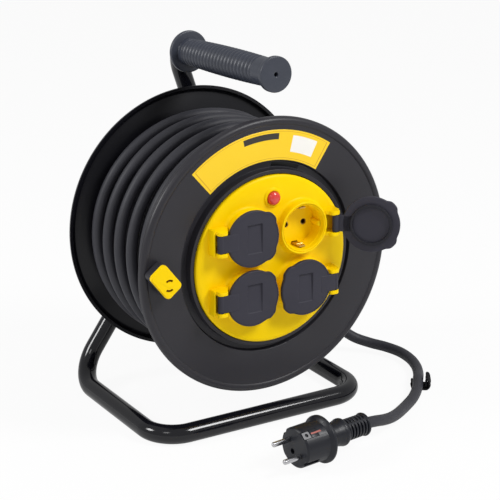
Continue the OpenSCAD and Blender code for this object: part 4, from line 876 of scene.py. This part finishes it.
# Fields painted on a finish: bands of radius and turn about a point in x and z, from Object coordinates
def paintTools(finish, centre):
    tree = finishes[finish].node_tree
    place = next(node for node in tree.nodes if node.type == "TEX_COORD")
    split = addNode(tree, "SeparateXYZ")
    wire(tree, (place, "Object", split, 0))
    across = maths(tree, "SUBTRACT", split.outputs["X"], centre[0])
    rise = maths(tree, "SUBTRACT", split.outputs["Z"], centre[1])
    squares = maths(tree, "ADD", maths(tree, "MULTIPLY", across, across), maths(tree, "MULTIPLY", rise, rise))
    radius = maths(tree, "SQRT", squares)
    turn = maths(tree, "MULTIPLY", maths(tree, "ARCTAN2", rise, across), 180 / math.pi)

    def band(value, low, high, soft):  # 1 between low and high, falling to 0 over soft
        offset = maths(tree, "ABSOLUTE", maths(tree, "SUBTRACT", value, (low + high) / 2))
        return maths(tree, "DIVIDE", maths(tree, "SUBTRACT", (high - low) / 2, offset), soft, use_clamp=True)

    def field(r0, r1, a0, a1, edge=0.2):  # radii in metres, angles in degrees
        return maths(tree, "MULTIPLY", band(radius, r0, r1, 0.0003), band(turn, a0, a1, edge))

    def paint(*fields):
        base = tree.nodes["Principled BSDF"].inputs["Base Color"]
        colour = base.links[0].from_socket
        for mask, ink in fields:
            mixed = addNode(tree, "Mix", {"B": linear(ink)}, data_type="RGBA")
            tree.links.new(mask, mixed.inputs["Factor"])
            tree.links.new(colour, mixed.inputs["A"])
            colour = mixed.outputs["Result"]
        tree.links.new(colour, base)

    return field, paint


axle = (0, reel["axleZ"] / 1000)
knobPin = nodePoints("knob_pin")[:, [0, 2]].mean(0) / 1000
# the knob's cap: the floors of its two curved slots are painted dark red, which is painted shade in the slots
field, paint = paintTools("knobYellow", knobPin.tolist())
paint(*((field(0.0037, 0.0058, low, low + 80, 2.0), (96, 30, 8)) for low in (50, -130)))
# the front flange: the opening of its curved slot is painted near black, which is painted shade in the recess
field, paint = paintTools("flangeBlack", axle)
paint((field(0.0841, 0.0880, 67.2, 85.8, 1.0), (3, 3, 4)))

# Label: a film on the flange, bare but for a frame line and plain fields
label = {"from": 56, "to": 131, "steps": 145, "under": -5.5}
labelRadii, labelTops = np.array([[90.8, 91.0, 118.3, 118.5], [-5.62, -5.74, -5.74, -5.62]])
field, paint = paintTools("film", axle)
outerField, innerField = field(0.0922, 0.1172, 57.2, 129.8), field(0.0926, 0.1168, 57.6, 129.4)
frameLine = maths(finishes["film"].node_tree, "SUBTRACT", outerField, innerField)
paint((field(0.0985, 0.1140, 62.5, 76.5), (246, 244, 238)), (field(0.1095, 0.1155, 84, 103), (44, 40, 36)),
      (frameLine, (214, 160, 20)))
turn = np.radians(np.linspace(label["from"], label["to"], label["steps"]))[:, None]
top, under = ringPoints(labelRadii, labelTops, turn), ringPoints(labelRadii, label["under"], turn)
labelVerts = np.concatenate([top, under[:, ::-1]], 1).reshape(-1, 3)
labelShape = (labelVerts, cappedFaces(label["steps"], 8))
makePiece("flange_label", onReel([labelShape]), "film", "drum", 30)

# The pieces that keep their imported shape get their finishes
kept = {
    "zinc": ("axle", "retaining_ring", "axle_screw", "housing_screws", "hinge_pins", "brush_springs",
             "knob_pin"),
    "brass": ("contact_sleeves", "earth_clips", "live_busbar", "neutral_busbar", "earth_busbar", "slip_rings"),
    "black": ("socket_housing", "brush_holder", "drum_barrel"),
    "cutout": ("thermal_cutout",), "carbon": ("brushes",),
    "bearing": ("slip_ring_carrier", "hub_bushes", "thrust_washers"),
}
for finish, names in kept.items():
    for name in names:
        piece = nodes[name]
        if not piece.material_slots:
            piece.data.materials.append(finishes[finish])
        for slotPlace in piece.material_slots:
            slotPlace.material = finishes[finish]
print("all pieces made")

# Floor, light and background
studio = {"world": 0.3, "glossyWhite": 0.35, "floorWhite": 0.93, "floorHalf": 9, "floorZ": -0.0004,
          "aim": (0, 0, 0.17)}


# The plain light or finish, but white to camera and transmission rays and partly to glossy ones
def whiteBehind(tree, plain, kind, strength, output):
    rays = addNode(tree, "LightPath").outputs
    glossy = maths(tree, "MULTIPLY", rays["Is Glossy Ray"], studio["glossyWhite"])
    seen = maths(tree, "MAXIMUM", rays["Is Camera Ray"], glossy)
    seen = maths(tree, "MAXIMUM", seen, rays["Is Transmission Ray"])
    white = addNode(tree, kind, {"Color": (1, 1, 1, 1)})
    mix = addNode(tree, "MixShader")
    for entry, value in zip(mix.inputs, (maths(tree, "MULTIPLY", seen, strength), plain, white.outputs[0])):
        tree.links.new(value, entry)
    tree.links.new(mix.outputs[0], tree.nodes[output].inputs["Surface"])


world = bpy.data.worlds.new("studio")
bpy.context.scene.world = world
world.use_nodes = True
light = world.node_tree.nodes["Background"]
setInputs(light, {"Color": (1, 1, 1, 1), "Strength": studio["world"]})
whiteBehind(world.node_tree, light.outputs[0], "Background", 1.0, "World Output")

half = studio["floorHalf"]
floorMesh = bpy.data.meshes.new("studioFloor")
corners = [(x, y, studio["floorZ"]) for x, y in box(-half, half, -half, half)]
floorMesh.from_pydata(corners, [], [(0, 1, 2, 3)])
studioFloor = addObject("studioFloor", floorMesh)
floorFinish = bpy.data.materials.new("paleFloor")
floorFinish.use_nodes = True
shader = floorFinish.node_tree.nodes["Principled BSDF"]
setInputs(shader, {"Base Color": (0.9, 0.9, 0.9, 1), "Roughness": 0.9, "Specular IOR Level": 0.1})
whiteBehind(floorFinish.node_tree, shader.outputs[0], "Emission", studio["floorWhite"], "Material Output")
floorMesh.materials.append(floorFinish)

lamps = {  # place in metres, size, power in watts
    "keyLamp": ((0.8, -1.25, 1.55), 0.6, 27.0),
    "fillLamp": ((-1.4, -1.1, 1.5), 0.5, 3.5),
    "backLamp": ((-1.5, 0.35, 1.05), 0.5, 15.0),
}
for name, (spot, size, power) in lamps.items():
    data = bpy.data.lights.new(name, "AREA")
    data.size, data.energy = size, power
    lamp = addObject(name, data)
    aim = Vector(studio["aim"]) - Vector(spot)
    lamp.matrix_world = Matrix.Translation(spot) @ aim.to_track_quat("-Z", "Y").to_matrix().to_4x4()

bpy.context.scene.view_settings.view_transform = "Standard"
print("ready")
